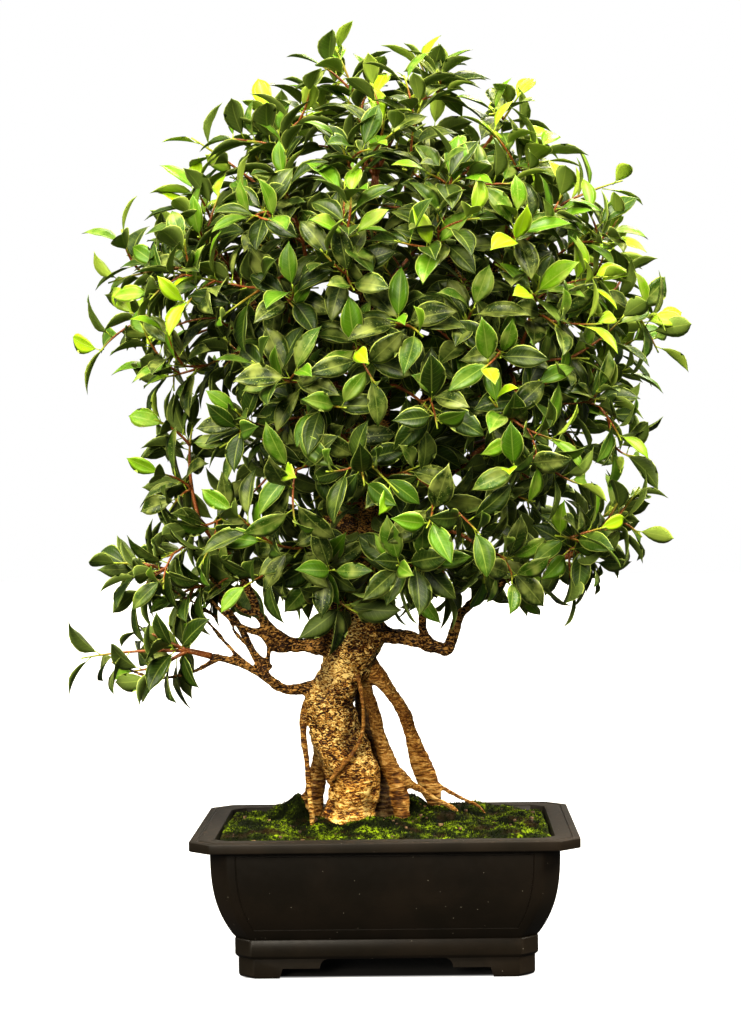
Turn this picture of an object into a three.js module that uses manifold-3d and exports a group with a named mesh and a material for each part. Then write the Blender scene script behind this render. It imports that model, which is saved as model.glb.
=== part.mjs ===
// Ficus bonsai in a rectangular pot, in millimetres, +Z up.
// The pot holds two drainage screens, soil and a mat of moss. The tree is one piece of wood with surface
// roots, aerial roots and branches, and each branch ends at a spray of leafy shoots.

import * as THREE from 'three';
import { mergeVertices } from 'three/addons/utils/BufferGeometryUtils.js';
import Module from 'manifold-3d';

const wasm = await Module();
wasm.setup();

// Driving dimensions of the pot
const RIM_WIDTH = 360;
const RIM_DEPTH = 270;
const POT_HEIGHT = 132;
const RIM_BAND = 9.5;
const RIM_BREADTH = 23;
const RIM_CORNER = 19.5;
const RIM_OVERHANG = 18;
const BODY_CORNER = 16;
const BODY_TAPER = 21;
const BODY_CURVE = 2.8;
const BASE_HEIGHT = 37;
const FOOT_HEIGHT = 18.5;
const FOOT_INSET = 3;
const FOOT_LENGTH = 38.5;
const FOOT_RISE = 3.5;
const LEDGE_LENGTH = 34.5;
const LEDGE_HEIGHT = 9.6;
const LEDGE_RISE = 8;
const FOOT_THICKNESS = 13;
const FLOOR_THICKNESS = 9.5;
const WALL = 7;
const GROOVE_INSET = 6.5;
const GROOVE_WIDTH = 1.6;
const GROOVE_DEPTH = 0.9;
const SOFT_EDGE = 1.2;
const BASE_STEP = 0.4;
const FOOT_BEVEL = 3;
const HOLE_RADIUS = 12;
const HOLE_OFFSET = 75;
const HOLE_SIDES = 14;

// Driving dimensions of what the pot holds
const CLEARANCE = 0.35;
const SCREEN_SIZE = 40;
const SCREEN_THICKNESS = 1.6;
const SCREEN_BAR = 2;
const SCREEN_SLOTS = 2;
const SOIL_TOP = 118;
const MOSS_EDGE = 126;
const MOSS_RISE = 7;
const MOSS_CELL = 33;
const MOSS_MOUNDS = 30;
const MOUND_MARGIN = 14;
const MOUND_BREADTH = [13, 26];
const MOUND_HEIGHT = [3, 8];
const MOSS_SWELL = { x: -10, y: 15, breadth: 95, depth: 70 };

// Driving dimensions of the wood
const TRUNK_RIBS = { count: 3, height: 0.084, twist: 5, fade: 0.83 };
const THIN_ROOT = 4.5;
const INNER_BASES = 15;
const INNER_REACH = 0.46;
const INNER_FOOT_RADIUS = 6.5;
const INNER_TIP_RADIUS = 3.1;
const BRANCH_SAG = 0.12;
const DOWNWARD_COST = 1.2;
const CLIMB = 25;

// Driving dimensions of the crown and its shoots
const CROWN_CENTRE = new THREE.Vector3(8, 0, 598);
const CROWN_DEPTH_RATIO = 0.82;
const CROWN_SHOOTS = 45;
const SHOOT_INSET = 28;
const SHOOT_RAGGED = 24;
const SHOOT_SCATTER = 0.16;
const SHOOT_LEAN = { outward: 0.5, upward: 0.35 };
const STEM_LENGTH = 22;
const TWIG_RADIUS = 2.1;
const TWIG_TIP_RADIUS = 1.1;
const TWIG_SEGMENTS = 2;
const TWIG_BEND = { share: 0.35, heading: 0.2 };
const HEADING_WORTH = 40;
const NEAR_BRANCHES = 3;

// Driving dimensions of a leaf, with its outline as shares of its length and half width
const LEAF_LENGTH = 50;
const LEAF_WIDTH = 25;
const LEAF_FOOT_THICKNESS = 0.8;
const MIDRIB_THICKNESS = 1.6;
const LEAF_WIDEST = 0.44;
const LEAF_MIDDLE = 0.55;
const LEAF_SHOULDER = { share: 0.78, width: 0.66 };
const LEAF_ARCH = 0.16;
const LEAF_FOLD = [0.24, 0.44];
const LEAF_DROOP = [0.05, 0.21];
const LEAF_SCALE = [0.9, 1.12];

// How the leaves follow each other from a shoot's tip: distance, opening in degrees, hang and growth
const LEAVES_PER_SHOOT = 5;
const LEAF_DISTANCE = { first: 2, step: 7, stretch: 1.2 };
const LOWEST_LEAF = 0.25;
const LEAF_OPENING = { first: 28, step: 13, fade: 0.9, vary: 10 };
const LEAF_HANG = { first: 0.05, step: 0.04 };
const LEAF_GROWTH = { first: 0.62, step: 0.16 };
const LEAF_FACING = { twig: -0.4, up: 0.7 };
const AZIMUTH_VARY = 0.3;
const LEAF_TURNS = [0, 0.35, -0.35, 0.7, -0.7, 1.05, -1.05];
const CLEAR_OF_TWIG = 0.14;

const UP = new THREE.Vector3(0, 0, 1);
const GOLDEN_ANGLE = Math.PI * (3 - Math.sqrt(5));
const DEGREE = Math.PI / 180;
const DETOURS = [[0, 0, 0], [0, 0, 26], [0, 0, -26], [26, 0, 0], [-26, 0, 0], [0, 26, 0], [0, -26, 0]]
  .map((detour) => new THREE.Vector3(...detour));

// The crown's outline as radii from its centre, for each 15 degrees from straight down to straight up
const OUTLINE_LEFT = [268, 278, 296, 318, 276, 246, 266, 276, 268, 254, 266, 276, 272];
const OUTLINE_RIGHT = [268, 272, 300, 324, 290, 243, 264, 252, 276, 246, 277, 278, 272];
const OUTLINE_STEP = 15 * DEGREE;

// Wood, as stations of x, y, z and radius
const TRUNK = [
  [-38, 2, 100, 33], [-37, 0, 129, 28], [-33, 0, 150, 22.7], [-30, 0, 172, 24.2], [-37, -1, 188, 24.2],
  [-44, -2, 208, 25.1], [-50, -2, 227, 23.7], [-54, -2, 247, 24.1], [-47, -1, 263, 21.7], [-42, 0, 276, 19.5],
  [-34, 0, 293, 25], [-29, 0, 314, 30.5], [-29, 0, 334, 29], [-32, 2, 358, 24],
];
const ROOTS = [
  // Big aerial root on the right, and the thinner one grown together with it
  [[-20, 3, 291, 13], [-15, 4, 284, 9.6], [-3, 8, 268, 7.4], [9, 14, 252, 6.4], [18, 20, 236, 6.3],
    [23, 27, 219, 6.5], [30, 33, 202, 6.7], [37, 39, 186, 6.8], [43, 45, 169, 6.8], [47, 50, 152, 6.4],
    [50, 54, 108, 5.4]],
  [[15, 26, 221, 2.8], [25, 37, 190, 3.6], [31, 42, 172, 3.9], [36, 46, 158, 3.9], [42, 50, 144, 3.5],
    [45, 51, 112, 3.2]],
  // Thin aerial root down the left side
  [[-66, -8, 258, 6.7], [-77, -14, 238, 4.4], [-78, -17, 218, 3.4], [-75, -19, 194, 3], [-73, -20, 165, 2.8],
    [-71, -20, 144, 2.7], [-70, -18, 112, 2.4]],
  // Thick root behind the trunk on the left, which spreads over the moss
  [[-58, 14, 218, 9.7], [-64, 24, 193, 8.6], [-68, 30, 173, 8.6], [-71, 34, 153, 10], [-76, 37, 116, 12]],
  [[-74, 33, 156, 5.4], [-88, 42, 143, 5], [-102, 50, 133, 4.2], [-116, 55, 118, 3.4]],
  // Thin root that crosses the front of the trunk
  [[-25, -14, 276, 3], [-21, -24, 253, 2.4], [-20, -26, 234, 2.3], [-22, -28, 218, 2.3],
    [-31, -30, 201, 2.3], [-43, -30, 187, 2.3], [-54, -24, 174, 2.3]],
  // Dark root and ribbed root behind the trunk, and the foot that runs to the right
  [[-24, 16, 282, 8], [-22, 22, 248, 7.6], [-17, 26, 218, 8.6], [-9, 28, 188, 11], [-3, 26, 160, 14.6],
    [0, 24, 112, 16]],
  [[-25, 8, 288, 7], [-18, 10, 262, 5.4], [-12, 12, 243, 5.4], [-7, 14, 222, 6], [-1, 15, 202, 7],
    [6, 16, 182, 9], [12, 16, 162, 9.4], [15, 16, 114, 9]],
  [[14, 16, 176, 6.4], [23, 22, 166, 4.4], [34, 28, 159, 3.2], [46, 34, 150, 3], [66, 38, 138, 2.7],
    [80, 40, 118, 2.6]],
  // Very thin root that leaves the big aerial root
  [[44, 49, 166, 2.6], [56, 54, 157, 2.1], [72, 60, 147, 2], [92, 66, 136, 1.8], [102, 68, 120, 1.7]],
];
const LIMBS = [
  // Leader, left, right, front and back stems, all hidden in the crown
  [[-32, 2, 345, 21], [-27, 0, 420, 15], [-25, -2, 510, 11], [-14, 0, 620, 8], [-4, 0, 730, 4.6]],
  [[-38, 2, 346, 16], [-47, 6, 430, 11], [-58, 8, 500, 9], [-92, 10, 580, 7], [-126, 10, 640, 4.4]],
  [[-24, 0, 345, 17], [0, -4, 420, 12], [22, -6, 480, 10], [48, -4, 540, 8.5], [86, 0, 605, 6],
    [112, 2, 665, 4.2]],
  [[-28, -4, 340, 15], [-14, -38, 410, 10], [0, -76, 490, 8], [10, -98, 575, 4.6]],
  [[-28, 8, 340, 15], [-22, 44, 410, 10], [-14, 84, 490, 8], [0, 104, 585, 4.6]],
  // Low branch on the left, with its fork that rises
  [[-50, -4, 266, 13], [-69, -6, 263, 7.4], [-95, -10, 262, 5], [-117, -16, 277, 4.4], [-141, -22, 290, 3.8],
    [-164, -26, 296, 3.4]],
  [[-112, -14, 272, 4], [-126, -10, 298, 3.6], [-138, -6, 322, 3.3], [-154, -4, 344, 3]],
  // Upper branch on the left
  [[-44, -4, 306, 14], [-71, -6, 304, 8.2], [-90, -10, 306, 6.7], [-111, -14, 322, 5.8], [-122, -18, 344, 4.8],
    [-138, -22, 379, 4.2], [-160, -26, 408, 3.5]],
  // Stub at the trunk's shoulder
  [[-50, -10, 306, 8], [-54, -18, 326, 5.8], [-48, -22, 346, 4.8], [-54, -36, 384, 3.4]],
  // Bent branch on the right, with its fork
  [[-18, 0, 319, 15], [7, -4, 313, 8.4], [31, -8, 308, 6.9], [49, -12, 301, 6.4], [61, -14, 299, 6.3],
    [66, -16, 311, 5.8], [73, -18, 331, 4.9], [94, -20, 350, 4.2], [128, -24, 370, 3.7], [168, -22, 384, 3.2]],
  [[44, -12, 303, 5.2], [38, -16, 318, 4.3], [40, -22, 350, 3.8], [56, -30, 392, 3.2]],
];

// Leafy shoots that stand out of the crown's outline, as x, y and z of their tips
const OUTLYING_SHOOTS = [
  // Low branch on the left, out to its furthest leaves
  [-288, -34, 296], [-236, -16, 326], [-226, -44, 270], [-192, -6, 300], [-262, -24, 386], [-200, -24, 350],
  // Lower edge of the crown
  [-62, -84, 352], [30, -84, 352], [120, -60, 362], [206, -24, 372],
  // Tips of the crown from its left edge over the top to its right edge
  [-262, 6, 656], [-180, 14, 796], [-40, -6, 880], [64, 8, 862], [138, -12, 830], [234, -16, 744],
  [270, -14, 606], [246, -20, 452],
];

// Park-Miller generator, so that every draw is the same in each run
function seeded(seed) {
  let state = seed;
  return () => {
    state = (state * 16807) % 2147483647;
    return state / 2147483647;
  };
}

function between([low, high], share) {
  return low + (high - low) * share;
}

function point(x, y, z) {
  return new THREE.Vector3(x, y, z);
}

function geometryFrom(points, index) {
  const geometry = new THREE.BufferGeometry();
  const positions = points.flatMap((p) => [p.x, p.y, p.z]);
  geometry.setAttribute('position', new THREE.Float32BufferAttribute(positions, 3));
  geometry.setIndex(index);
  return geometry;
}

// Closed body through rings of equal length, capped at its two ends
function loft(rings) {
  const count = rings[0].length;
  const last = (rings.length - 1) * count;
  const index = [];
  for (let start = 0; start < last; start += count) {
    for (let i = 0; i < count; i += 1) {
      const a = start + i;
      const b = start + ((i + 1) % count);
      index.push(a, b, b + count, a, b + count, a + count);
    }
  }
  for (let i = 1; i + 1 < count; i += 1) {
    index.push(0, i + 1, i, last, last + i, last + i + 1);
  }
  return geometryFrom(rings.flat(), index);
}

function solidOf(geometry) {
  const bare = new THREE.BufferGeometry();
  bare.setAttribute('position', geometry.getAttribute('position'));
  bare.setIndex(geometry.getIndex());
  const merged = mergeVertices(bare, 1e-4);
  return new wasm.Manifold(new wasm.Mesh({
    numProp: 3,
    vertProperties: merged.getAttribute('position').array,
    triVerts: merged.getIndex().array,
  }));
}

function geometryOf(solid) {
  const mesh = solid.getMesh();
  const geometry = new THREE.BufferGeometry();
  geometry.setAttribute('position', new THREE.BufferAttribute(mesh.vertProperties, 3));
  geometry.setIndex(new THREE.BufferAttribute(mesh.triVerts, 1));
  const flat = geometry.toNonIndexed();
  flat.computeVertexNormals();
  return flat;
}

function joined(solids) {
  return wasm.Manifold.union(solids);
}

// The largest piece of a cut solid, without its loose scraps
function largest(solid) {
  const pieces = solid.decompose();
  return pieces.reduce((best, piece) => (piece.volume() > best.volume() ? piece : best));
}

function boxSolid(low, high) {
  const size = high.clone().sub(low);
  const box = new THREE.BoxGeometry(size.x, size.y, size.z);
  const middle = low.clone().add(high).multiplyScalar(0.5);
  return solidOf(box.translate(middle.x, middle.y, middle.z));
}

// Pot

const HALF_DIFFERENCE = (RIM_WIDTH - RIM_DEPTH) / 2;
const BODY_HALF = RIM_WIDTH / 2 - RIM_OVERHANG;
const INNER_HALF = RIM_WIDTH / 2 - RIM_BREADTH;
const FLOOR_TOP = FOOT_HEIGHT + FLOOR_THICKNESS;
const BAND_BOTTOM = POT_HEIGHT - RIM_BAND;
const WALL_STATIONS = [0, 0.07, 0.17, 0.33, 0.6, 1];

// Outline with cut corners at one height, counterclockwise from above
function potRing(halfWidth, corner, z) {
  const halfDepth = halfWidth - HALF_DIFFERENCE;
  return [
    point(halfWidth, -halfDepth + corner, z),
    point(halfWidth, halfDepth - corner, z),
    point(halfWidth - corner, halfDepth, z),
    point(-halfWidth + corner, halfDepth, z),
    point(-halfWidth, halfDepth - corner, z),
    point(-halfWidth, -halfDepth + corner, z),
    point(-halfWidth + corner, -halfDepth, z),
    point(halfWidth - corner, -halfDepth, z),
  ];
}

// Half width of the body, upright at the top and drawn in towards its base
function bodyHalf(z) {
  const height = THREE.MathUtils.clamp((z - BASE_HEIGHT) / (BAND_BOTTOM - BASE_HEIGHT), 0, 1);
  return BODY_HALF - BODY_TAPER * (1 - height) ** BODY_CURVE;
}

function innerHalf(z) {
  return Math.min(bodyHalf(z) - WALL, INNER_HALF);
}

function wallHeight(share) {
  return BASE_HEIGHT + share * (BAND_BOTTOM - BASE_HEIGHT);
}

// Rings of the inside, from the floor up to a height
function innerRings(top, clearance) {
  const heights = [FLOOR_TOP + clearance, ...WALL_STATIONS.map(wallHeight).filter((z) => z < top - 1), top];
  return heights.map((z) => potRing(innerHalf(z) - clearance, BODY_CORNER - WALL / 2, z));
}

function footProfile(half) {
  const footEnd = half - FOOT_LENGTH;
  const ledgeEnd = footEnd - FOOT_RISE - LEDGE_LENGTH;
  const right = [
    [footEnd, -1], [footEnd - FOOT_RISE, LEDGE_HEIGHT], [ledgeEnd, LEDGE_HEIGHT],
    [ledgeEnd - LEDGE_RISE / 4, (LEDGE_HEIGHT + FOOT_HEIGHT) / 2], [ledgeEnd - LEDGE_RISE, FOOT_HEIGHT],
  ];
  const left = right.map(([x, z]) => [-x, z]).reverse();
  return new THREE.Shape([...right, ...left].map(([x, z]) => new THREE.Vector2(x, z)));
}

// Stepped gap between two feet, cut through the whole pot along one side's direction
function footCut(half, length) {
  const cut = new THREE.ExtrudeGeometry(footProfile(half), { depth: length, bevelEnabled: false });
  return cut.translate(0, 0, -length / 2).rotateX(Math.PI / 2);
}

function makePot() {
  const baseHalf = BODY_HALF - BODY_TAPER + BASE_STEP;
  const footHalf = baseHalf - FOOT_INSET;
  const rimHalf = RIM_WIDTH / 2;
  const grooveHalf = rimHalf - GROOVE_INSET;
  const outside = [
    potRing(footHalf - FOOT_BEVEL, BODY_CORNER - 3, 0),
    potRing(footHalf, BODY_CORNER - 2, FOOT_BEVEL),
    potRing(footHalf, BODY_CORNER - 2, FOOT_HEIGHT),
    potRing(baseHalf, BODY_CORNER - 1, FOOT_HEIGHT + FOOT_INSET),
    potRing(baseHalf, BODY_CORNER - 1, BASE_HEIGHT - SOFT_EDGE),
    potRing(baseHalf - SOFT_EDGE, BODY_CORNER - 1, BASE_HEIGHT),
    ...WALL_STATIONS.slice(1, -1).map(wallHeight).map((z) => potRing(bodyHalf(z), BODY_CORNER, z)),
    potRing(BODY_HALF, BODY_CORNER, BAND_BOTTOM - SOFT_EDGE),
    potRing(rimHalf - SOFT_EDGE, RIM_CORNER, BAND_BOTTOM),
    potRing(rimHalf, RIM_CORNER, BAND_BOTTOM + SOFT_EDGE),
    potRing(rimHalf, RIM_CORNER, POT_HEIGHT - SOFT_EDGE),
    potRing(rimHalf - SOFT_EDGE, RIM_CORNER, POT_HEIGHT),
    potRing(grooveHalf, RIM_CORNER - 2, POT_HEIGHT),
    potRing(grooveHalf - GROOVE_WIDTH / 2, RIM_CORNER - 2, POT_HEIGHT - GROOVE_DEPTH),
    potRing(grooveHalf - GROOVE_WIDTH, RIM_CORNER - 2, POT_HEIGHT),
  ];
  const inside = innerRings(POT_HEIGHT - SOFT_EDGE, 0).reverse();
  inside.unshift(potRing(INNER_HALF + SOFT_EDGE, BODY_CORNER - WALL / 2, POT_HEIGHT));
  const body = solidOf(loft([...outside, ...inside]));
  const sideCut = solidOf(footCut(footHalf - HALF_DIFFERENCE, RIM_WIDTH).rotateZ(Math.PI / 2));
  const frontCut = solidOf(footCut(footHalf, RIM_DEPTH));
  const recessHalf = footHalf - FOOT_THICKNESS;
  const recess = solidOf(loft([-1, FOOT_HEIGHT].map((z) => potRing(recessHalf, BODY_CORNER, z))));
  const holes = [-HOLE_OFFSET, HOLE_OFFSET].map((x) => {
    const hole = new THREE.CylinderGeometry(HOLE_RADIUS, HOLE_RADIUS, 4 * FLOOR_THICKNESS, HOLE_SIDES);
    return solidOf(hole.rotateX(Math.PI / 2).translate(x, 0, FOOT_HEIGHT));
  });
  return body.subtract(joined([sideCut, frontCut, recess, ...holes]));
}

// Drainage screen: a square plate with rows of slots
function makeScreen(x) {
  const low = point(x - SCREEN_SIZE / 2, -SCREEN_SIZE / 2, FLOOR_TOP + CLEARANCE);
  const high = point(x + SCREEN_SIZE / 2, SCREEN_SIZE / 2, FLOOR_TOP + CLEARANCE + SCREEN_THICKNESS);
  const pitch = (SCREEN_SIZE - SCREEN_BAR) / SCREEN_SLOTS;
  const slots = [];
  for (let row = 0; row < SCREEN_SLOTS; row += 1) {
    for (let column = 0; column < SCREEN_SLOTS; column += 1) {
      const corner = point(low.x + SCREEN_BAR + row * pitch, low.y + SCREEN_BAR + column * pitch, low.z - 1);
      const far = corner.clone().add(point(pitch - SCREEN_BAR, pitch - SCREEN_BAR, SCREEN_THICKNESS + 2));
      slots.push(boxSolid(corner, far));
    }
  }
  return boxSolid(low, high).subtract(joined(slots));
}

// Wood

function lineThrough(stations) {
  return new THREE.CatmullRomCurve3(stations.map(([x, y, z]) => point(x, y, z)));
}

// Rings round a smooth line through the stations. Grown rings keep a clearance all round and past both ends.
function tube(stations, sides, segments, grown = 0, relief = () => 1) {
  const curve = lineThrough(stations);
  const across = point(1, 0.2, 0.1);
  const rings = [];
  for (let i = 0; i <= segments; i += 1) {
    const along = i / segments;
    const tangent = curve.getTangent(along);
    across.addScaledVector(tangent, -across.dot(tangent)).normalize();
    const side = tangent.clone().cross(across);
    const station = along * (stations.length - 1);
    const before = Math.min(Math.floor(station), stations.length - 2);
    const radius = between([stations[before][3], stations[before + 1][3]], station - before);
    const centre = curve.getPoint(along);
    centre.addScaledVector(tangent, i === 0 ? -grown : i === segments ? grown : 0);
    rings.push(Array.from({ length: sides }, (_, k) => {
      const angle = (2 * Math.PI * k) / sides;
      const reach = radius * relief(angle, along) + grown / Math.cos(Math.PI / sides);
      const place = centre.clone().addScaledVector(across, reach * Math.cos(angle));
      return place.addScaledVector(side, reach * Math.sin(angle));
    }));
  }
  return solidOf(loft(rings));
}

// The trunk swells into low ribs that wind round it, highest at its foot
function trunkRelief(angle, along) {
  const { count, height, twist, fade } = TRUNK_RIBS;
  return 1 + height * Math.sin(count * angle + twist * along) * (1 - fade * along);
}

// Trunk and roots, where the thin roots have fewer sides
function standingWood(grown) {
  const roots = ROOTS.map((stations) => {
    const sides = stations.some(([, , , radius]) => radius > THIN_ROOT) ? 5 : 4;
    return tube(stations, sides, stations.length - 1, grown);
  });
  return joined([tube(TRUNK, 10, TRUNK.length - 1, grown, trunkRelief), ...roots]);
}

// Directions spread evenly over a ball
function spread(count, turn) {
  return Array.from({ length: count }, (_, i) => {
    const z = 1 - (2 * (i + 0.5)) / count;
    const level = Math.sqrt(1 - z * z);
    const angle = turn + i * GOLDEN_ANGLE;
    return point(level * Math.cos(angle), level * Math.sin(angle), z);
  });
}

// Distance of the crown's outline from its centre in a direction, taken between its left and right outlines
function crownRadius(direction) {
  const place = (Math.asin(THREE.MathUtils.clamp(direction.z, -1, 1)) + Math.PI / 2) / OUTLINE_STEP;
  const before = Math.min(Math.floor(place), OUTLINE_LEFT.length - 2);
  const [left, right] = [OUTLINE_LEFT, OUTLINE_RIGHT].map((outline) => (
    between([outline[before], outline[before + 1]], place - before)));
  const level = Math.hypot(direction.x, direction.y) || 1;
  return between([left, right], 0.5 + (0.5 * direction.x) / level);
}

// A place in the crown, at a distance along a direction, with the crown's lesser depth
function crownPoint(direction, distance) {
  const place = direction.clone().multiplyScalar(distance);
  place.y *= CROWN_DEPTH_RATIO;
  return place.add(CROWN_CENTRE);
}

function endOf(stations) {
  const line = lineThrough(stations);
  return { place: line.getPoint(1), radius: stations.at(-1)[3], heading: line.getTangent(1) };
}

// A branch leaves the limb where the way out to its end is short and doesn't turn down
function branchTo(end) {
  let best = null;
  for (const limb of LIMBS) {
    const curve = lineThrough(limb);
    for (let step = 2; step <= 9; step += 1) {
      const along = step / 10;
      const start = curve.getPoint(along);
      const station = limb[Math.round(along * (limb.length - 1))];
      const cost = start.distanceTo(end) + DOWNWARD_COST * Math.max(0, start.z - end.z + CLIMB);
      if (!best || cost < best.cost) {
        best = { cost, start, radius: Math.min(0.7 * station[3], INNER_FOOT_RADIUS) };
      }
    }
  }
  const { start, radius } = best;
  const span = end.clone().sub(start);
  const sag = span.length() * BRANCH_SAG;
  return [[0, 0], [0.4, 1], [0.75, 0.6], [1, 0]].map(([share, sagShare]) => {
    const place = start.clone().addScaledVector(span, share);
    return [place.x, place.y, place.z - sag * sagShare, between([radius, INNER_TIP_RADIUS], share)];
  });
}

const innerEnds = spread(INNER_BASES, 0.6).map((way) => crownPoint(way, INNER_REACH * crownRadius(way)));
const innerBranches = innerEnds.map(branchTo);
const branches = [...LIMBS, ...innerBranches];

function makeTree() {
  const limbs = LIMBS.map((stations) => tube(stations, 5, stations.length - 1));
  const smaller = innerBranches.map((stations) => tube(stations, 3, 3));
  return joined([standingWood(0), ...limbs, ...smaller]);
}

// Soil and moss

const grownWood = standingWood(CLEARANCE);

function makeSoil() {
  const fill = solidOf(loft(innerRings(SOIL_TOP, CLEARANCE)));
  const reach = SCREEN_SIZE / 2 + CLEARANCE;
  const pockets = [-HOLE_OFFSET, HOLE_OFFSET].map((x) => boxSolid(
    point(x - reach, -reach, 0),
    point(x + reach, reach, FLOOR_TOP + SCREEN_THICKNESS + 2 * CLEARANCE),
  ));
  return largest(fill.subtract(joined([grownWood, ...pockets])));
}

// Mounds of moss, drawn once, as place, breadth and height
const drawMoss = seeded(41);
const mounds = Array.from({ length: MOSS_MOUNDS }, () => ({
  x: (drawMoss() - 0.5) * 2 * (INNER_HALF - MOUND_MARGIN),
  y: (drawMoss() - 0.5) * 2 * (INNER_HALF - HALF_DIFFERENCE - MOUND_MARGIN),
  breadth: between(MOUND_BREADTH, drawMoss()),
  height: between(MOUND_HEIGHT, drawMoss()),
}));

// The mat rises from the rim towards the tree and carries the mounds
function mossHeight(x, y) {
  const nearTree = Math.exp(-(((x - MOSS_SWELL.x) / MOSS_SWELL.breadth) ** 2)
    - (((y - MOSS_SWELL.y) / MOSS_SWELL.depth) ** 2));
  let height = MOSS_EDGE + MOSS_RISE * nearTree;
  for (const mound of mounds) {
    height += mound.height * Math.exp(-(((x - mound.x) ** 2 + (y - mound.y) ** 2) / mound.breadth ** 2));
  }
  return height;
}

function makeMoss() {
  const halfWidth = innerHalf(SOIL_TOP) - 2 * CLEARANCE;
  const halfDepth = halfWidth - HALF_DIFFERENCE;
  const corner = BODY_CORNER - WALL / 2;
  const columns = Math.round((2 * halfWidth) / MOSS_CELL);
  const rows = Math.round((2 * halfDepth) / MOSS_CELL);
  const top = [];
  for (let row = 0; row <= rows; row += 1) {
    for (let column = 0; column <= columns; column += 1) {
      const x = -halfWidth + (2 * halfWidth * column) / columns;
      const y = -halfDepth + (2 * halfDepth * row) / rows;
      const past = Math.max(0, Math.abs(x) - halfWidth + Math.abs(y) - halfDepth + corner) / 2;
      const onX = x - Math.sign(x) * past;
      const onY = y - Math.sign(y) * past;
      top.push(point(onX, onY, mossHeight(onX, onY)));
    }
  }
  const across = columns + 1;
  const index = [];
  for (let row = 0; row < rows; row += 1) {
    for (let column = 0; column < columns; column += 1) {
      const a = row * across + column;
      index.push(a, a + 1, a + across + 1, a, a + across + 1, a + across);
    }
  }
  const edge = [];
  for (let column = 0; column < columns; column += 1) edge.push(column);
  for (let row = 0; row < rows; row += 1) edge.push(row * across + columns);
  for (let column = columns; column > 0; column -= 1) edge.push(rows * across + column);
  for (let row = rows; row > 0; row -= 1) edge.push(row * across);
  const underside = edge.map((i) => point(top[i].x, top[i].y, SOIL_TOP + CLEARANCE));
  const faces = THREE.ShapeUtils.triangulateShape(underside.map((p) => new THREE.Vector2(p.x, p.y)), []);
  edge.forEach((a, i) => {
    const next = (i + 1) % edge.length;
    index.push(top.length + i, top.length + next, edge[next], top.length + i, edge[next], a);
  });
  faces.forEach(([a, b, c]) => index.push(top.length + a, top.length + c, top.length + b));
  return largest(solidOf(geometryFrom([...top, ...underside], index)).subtract(grownWood));
}

// Leafy sprays

// Blade folded along its midrib and arched to a drooping tip, with its foot at the origin, +X to the tip and
// +Z up. It is thickest at its midrib and thins out to its rim. The same triangles lie on both faces, so that
// they never cross. A blade that only probes for crossings is larger all round by a spare distance, and may
// start clear of the twig that bears it.
function bladeGeometry({ size, fold, droop }, spare, start) {
  const length = LEAF_LENGTH * size + spare;
  const half = (LEAF_WIDTH * size) / 2 + spare;
  const height = (share) => length * (LEAF_ARCH * share - (LEAF_ARCH + droop) * share ** 2);
  const edge = (share, width) => (
    point(share * length, width * half, height(share) + fold * Math.abs(width) * half));
  const { share: shoulder, width: narrowed } = LEAF_SHOULDER;
  const face = [
    edge(start, 0), edge(LEAF_WIDEST, -1), edge(shoulder, -narrowed), edge(1, 0),
    edge(shoulder, narrowed), edge(LEAF_WIDEST, 1), edge(LEAF_MIDDLE, 0),
  ];
  const thickness = [LEAF_FOOT_THICKNESS, 0, 0, 0, 0, 0, MIDRIB_THICKNESS].map((own) => own / 2 + spare);
  const upper = face.map((p, i) => point(p.x, p.y, p.z + thickness[i]));
  const lower = face.map((p, i) => point(p.x, p.y, p.z - thickness[i]));
  const under = face.length;
  const middle = under - 1;
  const index = [];
  for (let a = 0; a < middle; a += 1) {
    const b = (a + 1) % middle;
    index.push(a, b, middle, a + under, middle + under, b + under);
    if (thickness[b] > 0) index.push(a + under, b + under, b);
    if (thickness[a] > 0) index.push(a + under, b, a);
  }
  return geometryFrom([...upper, ...lower], index);
}

// Line of a twig from its spray's fork out to a shoot's tip, bent from the branch's heading and by a detour
function twigCurve(base, tip, detour) {
  const way = tip.clone().sub(base.fork);
  const bend = base.fork.clone().addScaledVector(way, TWIG_BEND.share).add(detour)
    .addScaledVector(base.heading, TWIG_BEND.heading * way.length());
  return new THREE.QuadraticBezierCurve3(base.fork, bend, tip);
}

// A place on the straight stretches of a twig
function onTwig(shoot, along) {
  const place = along * TWIG_SEGMENTS;
  const before = Math.min(Math.floor(place), TWIG_SEGMENTS - 1);
  return shoot.joints[before].clone().lerp(shoot.joints[before + 1], place - before);
}

function leafMatrix(place, direction, upward) {
  const side = upward.clone().cross(direction).normalize();
  const normal = direction.clone().cross(side).normalize();
  return new THREE.Matrix4().makeBasis(direction, side, normal).setPosition(place);
}

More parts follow.
